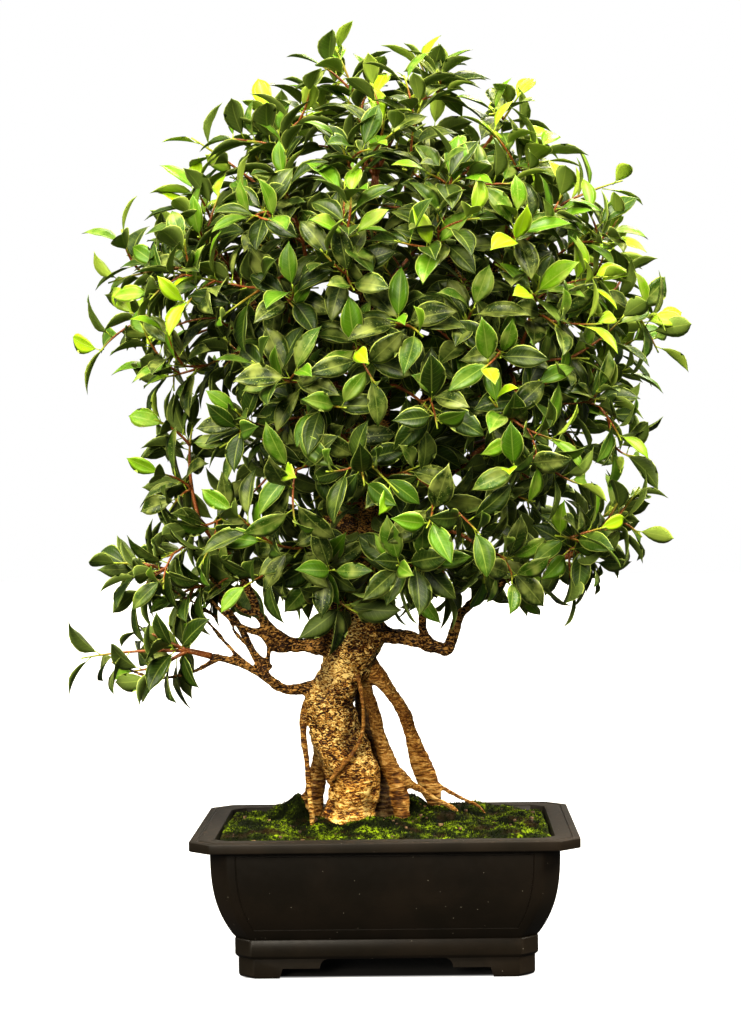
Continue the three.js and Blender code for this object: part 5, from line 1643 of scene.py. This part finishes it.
def leaf_points(shoots, thickness):
    """Points of all the leaves of some shoots by leaf, their youth and their plan, and the faces of one leaf.
    The plan holds each point's share along and across its blade and the leaf's tint."""
    plan, faces = blade_plan()
    rows = np.array([p[0] for p in plan])
    across = np.array([p[1] for p in plan], float)
    under = np.array([p[2] for p in plan], float)
    shares = np.array([s for s, _ in BLADE_OUTLINE])[rows]
    widths = np.array([w for _, w in BLADE_OUTLINE])[rows]
    leaves = [leaf for shoot in shoots for leaf in shoot.leaves]
    size = np.array([leaf["size"] for leaf in leaves])[:, None]
    fold = np.array([leaf["fold"] for leaf in leaves])[:, None]
    droop = np.array([leaf["droop"] for leaf in leaves])[:, None]
    draws = np.array([leaf["draws"] for leaf in leaves])
    youth = np.array([leaf_age(shoot, leaf) for shoot in shoots for leaf in shoot.leaves])
    tint = draws[:, 1]
    length = LEAF_LENGTH * size
    half = LEAF_WIDTH / 2 * size * between(BLADE_BREADTH, draws[:, 2:3])
    y = across * widths * half
    arch = (LEAF_ARCH * shares - (LEAF_ARCH + droop) * shares ** 2
            - TIP_CURL * np.maximum(0, shares - TIP_START) ** 2)
    cup = fold * np.abs(across) * (1 - CUP_EASE * np.abs(across)) / (1 - CUP_EASE)
    wave = EDGE_WAVE * np.sin(shares * 14 + 9 * draws[:, 3:4]) * np.abs(across) ** 2
    z = length * arch + (cup + wave) * widths * half - under * thickness
    bend = (draws[:, 4:5] - 0.5) * BLADE_BEND
    x = shares * length
    y = y + bend * length * shares ** 2
    twist = (draws[:, 5:6] - 0.5) * BLADE_TWIST * shares
    flat = np.stack([x, y * np.cos(twist) - (z - length * arch) * np.sin(twist),
                     y * np.sin(twist) + (z - length * arch) * np.cos(twist) + length * arch], -1)
    axes = np.array([[list(a) for a in leaf["axes"]] for leaf in leaves])
    places = np.array([list(leaf["place"]) for leaf in leaves])
    points = np.einsum("lpi,lij->lpj", flat, axes) + places[:, None]
    shape = points.shape[:2]
    plans = np.stack([np.broadcast_to(part, shape) for part in (shares, across, tint[:, None])], -1)
    return points, np.broadcast_to(youth[:, None], shape), plans, faces


def stalk_points(shoots):
    """Leaf stalks, as slim three-sided tubes from the twig into the foot of the blade."""
    leaves = [leaf for shoot in shoots for leaf in shoot.leaves]
    axes = np.array([[list(a) for a in leaf["axes"]] for leaf in leaves])
    places = np.array([list(leaf["place"]) for leaf in leaves])
    size = np.array([leaf["size"] for leaf in leaves])
    droop = np.array([leaf["droop"] for leaf in leaves])
    rings = []
    for share, radius in STALK_STATIONS:
        height = LEAF_ARCH * share - (LEAF_ARCH + droop) * share ** 2
        centre = places + axes[:, 0] * (share * LEAF_LENGTH * size)[:, None]
        centre = centre + axes[:, 2] * (height * LEAF_LENGTH * size - 0.1)[:, None]
        for k in range(3):
            angle = 2 * math.pi * k / 3 + math.pi / 2
            rings.append(centre + axes[:, 1] * radius * math.cos(angle)
                         + axes[:, 2] * radius * math.sin(angle))
    return np.stack(rings, 1), ring_faces(len(STALK_STATIONS), 3)


def repeated(block, copies, count, offset):
    """The same faces for each of several copies of a set of points."""
    start = np.arange(copies)[:, None, None] * count + offset
    return (start + block[None]).reshape(-1, block.shape[1])


def build_spray(name, shoots, bases, materials, thickness):
    """One leafy spray: its stem, twigs, leaf stalks and leaves, as one piece. Its materials are those of the
    leaves' upper face, of their lower face and of twigs."""
    upper, lower, bark = range(3)
    points, youth, plans, blades = leaf_points(shoots, thickness)
    leaves, count = points.shape[:2]
    faces = [repeated(block, leaves, count, 0) for side in (0, 1) for block in blades[side]]
    slots = [upper, upper, lower, lower]
    all_points = [points.reshape(-1, 3)]
    all_youth = [youth.reshape(-1)]
    offset = leaves * count
    stalks, blocks = stalk_points(shoots)
    faces += [repeated(block, leaves, stalks.shape[1], offset) for block in blocks]
    slots += [bark, bark]
    all_points.append(stalks.reshape(-1, 3))
    all_youth.append(np.ones(stalks.shape[0] * stalks.shape[1]))
    offset += stalks.shape[0] * stalks.shape[1]
    wood = [(smooth_line([base["place"], base["fork"] + base["heading"] * TWIG_RADIUS]),
             lambda share, r=base["radius"]: between((0.95 * r, 0.75 * r), share), STEM_SIDES, STEM_RINGS, 0)
            for base in bases if base["surface"].name == name]
    for shoot in shoots:
        wood.append((shoot.line, lambda share, r=shoot.radius: twig_radius(r, share),
                     TWIG_SIDES, TWIG_RINGS, 1))
    for line, radius, around, rings, growing in wood:
        tube_points, blocks = tube(line, radius, around, rings)
        faces += [block + offset for block in blocks]
        slots += [bark, bark]
        all_points.append(np.array(tube_points))
        share = np.repeat(np.linspace(0, 1, rings), around)
        # The last third of a twig turns green
        all_youth.append(growing * np.clip(share * 3.2 - 2.1, 0, 1))
        offset += len(tube_points)
    bare = sum(len(p) for p in all_points[1:])
    all_plans = [plans.reshape(-1, 3), np.zeros((bare, 3))]
    spray = make_mesh("leafy_" + name, np.concatenate(all_points), faces, materials, slots,
                      {"youth": np.concatenate(all_youth), "plan": np.concatenate(all_plans)})
    finish_piece(spray, "leaf", name)
    return spray


def twig_radius(radius, share):
    """Radius along a twig, which tapers and swells a little at its nodes."""
    return between((radius, TWIG_END_RADIUS), share) + 0.12 * math.sin(40 * share)


# Operators

class BONSAI_OT_pot(bpy.types.Operator):
    """Builds the moulded pot with its rim groove, base moulding and stepped feet"""

    bl_idname = "bonsai.pot"
    bl_label = "Pot"

    def execute(self, context):
        build_pot(context.scene.bonsai_pot)
        return {"FINISHED"}


class BONSAI_OT_filling(bpy.types.Operator):
    """Finishes the drainage screens and the soil, which keep their solids"""

    bl_idname = "bonsai.filling"
    bl_label = "Screens and soil"

    def execute(self, context):
        screen, soil = screen_material(), soil_material()
        for name, material in (("drain_screen_left", screen), ("drain_screen_right", screen), ("soil", soil)):
            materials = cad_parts[name].data.materials
            materials.clear()
            materials.append(material)
        return {"FINISHED"}


class BONSAI_OT_moss(bpy.types.Operator):
    """Builds the mat of moss with its cushions, stalks and grains of grit"""

    bl_idname = "bonsai.moss"
    bl_label = "Moss"

    def execute(self, context):
        build_moss(context.scene.bonsai_pot)
        return {"FINISHED"}


class BONSAI_OT_wood(bpy.types.Operator):
    """Builds trunk, roots and branches in one skin with its bark"""

    bl_idname = "bonsai.wood"
    bl_label = "Wood"

    def execute(self, context):
        build_wood(context.scene.bonsai_wood)
        return {"FINISHED"}


class BONSAI_OT_sprays(bpy.types.Operator):
    """Builds the leafy sprays, one piece for each spray of the solids"""

    bl_idname = "bonsai.sprays"
    bl_label = "Leafy sprays"

    def execute(self, context):
        look = context.scene.bonsai_leaf
        materials = [leaf_material(look, False), leaf_material(look, True), twig_material(look)]
        branches = all_branches()
        bases, shoots = solid_shoots(branches)
        shoots = shoots + filling_shoots(branches, shoots)
        for name in SPRAY_NODES:
            own = [shoot for shoot in shoots if shoot.spray == name]
            if not own:
                raise RuntimeError(f"no shoot of the rule lies on {name}")
            build_spray(name, own, bases, materials, look.leaf_thickness / MM)
        return {"FINISHED"}


class BONSAI_OT_stage(bpy.types.Operator):
    """Sets up the pale floor, the soft lights and the camera at the photograph's angle"""

    bl_idname = "bonsai.stage"
    bl_label = "Stage"

    def execute(self, context):
        look = context.scene.bonsai_stage
        scene = context.scene
        scene.view_settings.view_transform = "Standard"
        scene.view_settings.gamma = VIEW_GAMMA
        build_floor()
        for name in LIGHTS:
            add_light(name, getattr(look, name + "_strength"), look.light_colour)
        build_world(scene, look.ambient)
        build_camera(scene, look.camera_lens)
        return {"FINISHED"}


def build_floor():
    reach = FLOOR_REACH / MM
    corners = [(-reach, -reach, 0), (reach, -reach, 0), (reach, reach, 0), (-reach, reach, 0)]
    floor = make_mesh("floor", corners, [np.array([[0, 1, 2, 3]])], [stage_material()])
    # The floor throws no light back, so the crown stays dark below as in the photograph
    floor.visible_diffuse = False
    floor.visible_glossy = False


def add_light(name, strength, colour):
    """Even light from one side, as from a large soft box that seems so many degrees wide."""
    data = bpy.data.lights.new(name + "_light", "SUN")
    data.energy = strength
    data.color = colour
    data.angle = math.radians(LIGHTS[name]["width"])
    light = bpy.data.objects.new(name + "_light", data)
    light.rotation_mode = "QUATERNION"
    light.rotation_quaternion = Vector(LIGHTS[name]["side"]).to_track_quat("Z", "Y")
    bpy.context.scene.collection.objects.link(light)


def build_world(scene, ambient):
    """White to the camera, and a dimmer light on the tree that comes mostly from above."""
    world = bpy.data.worlds.new("studio")
    world.use_nodes = True
    tree = world.node_tree
    tree.nodes.clear()
    height = add_node(tree, "SeparateXYZ", {0: add_node(tree, "TexCoord", out="Generated")}, out=2)
    dim = add_node(tree, "MapRange", {"Value": height, "From Min": -0.3, "From Max": 0.9,
                                      "To Min": ambient * GROUND_SHARE, "To Max": ambient})
    seen = add_node(tree, "LightPath", out="Is Camera Ray")
    strength = add_node(tree, "Mix", {0: seen, 2: dim, 3: 1.0}, data_type="FLOAT")
    light = add_node(tree, "Background", {"Color": WHITE, "Strength": strength})
    add_node(tree, "OutputWorld", {"Surface": light})
    scene.world = world


def build_camera(scene, lens):
    """Camera at the photograph's place and angle."""
    data = bpy.data.cameras.new("camera")
    data.lens = lens
    data.sensor_width = SENSOR_WIDTH
    data.clip_end = VIEW_REACH
    camera = bpy.data.objects.new("camera", data)
    turn = Matrix.Rotation(math.radians(CAMERA_YAW), 4, "Z")
    tilt = Matrix.Rotation(math.radians(90 - CAMERA_DOWN), 4, "X")
    roll = Matrix.Rotation(math.radians(-CAMERA_ROLL), 4, "Z")
    camera.matrix_world = Matrix.Translation(CAMERA_PLACE * MM + POT_MIDDLE) @ turn @ tilt @ roll
    scene.collection.objects.link(camera)
    scene.camera = camera


class BONSAI_PT_panel(bpy.types.Panel):
    """Lists the pieces of the bonsai and their settings"""

    bl_idname = "BONSAI_PT_panel"
    bl_label = "Ficus bonsai"
    bl_space_type = "VIEW_3D"
    bl_region_type = "UI"
    bl_category = "Bonsai"

    def draw(self, context):
        for group in GROUPS:
            settings = getattr(context.scene, group)
            box = self.layout.box()
            for name in settings.__annotations__:
                box.prop(settings, name)
        for operator in OPERATORS:
            self.layout.operator(operator.bl_idname)


GROUPS = {"bonsai_pot": BonsaiPotSettings, "bonsai_wood": BonsaiWoodSettings,
          "bonsai_leaf": BonsaiLeafSettings, "bonsai_stage": BonsaiStageSettings}
OPERATORS = (BONSAI_OT_stage, BONSAI_OT_pot, BONSAI_OT_filling, BONSAI_OT_moss, BONSAI_OT_wood,
             BONSAI_OT_sprays)


def register():
    for cls in (*GROUPS.values(), *OPERATORS, BONSAI_PT_panel):
        bpy.utils.register_class(cls)
    for name, group in GROUPS.items():
        setattr(bpy.types.Scene, name, bpy.props.PointerProperty(type=group))


def unregister():
    for name in GROUPS:
        delattr(bpy.types.Scene, name)
    for cls in reversed((*GROUPS.values(), *OPERATORS, BONSAI_PT_panel)):
        bpy.utils.unregister_class(cls)


def main():
    register()
    bpy.ops.bonsai.stage()
    bpy.ops.bonsai.pot()
    bpy.ops.bonsai.filling()
    bpy.ops.bonsai.moss()
    bpy.ops.bonsai.wood()
    bpy.ops.bonsai.sprays()


if __name__ == "__main__":
    main()
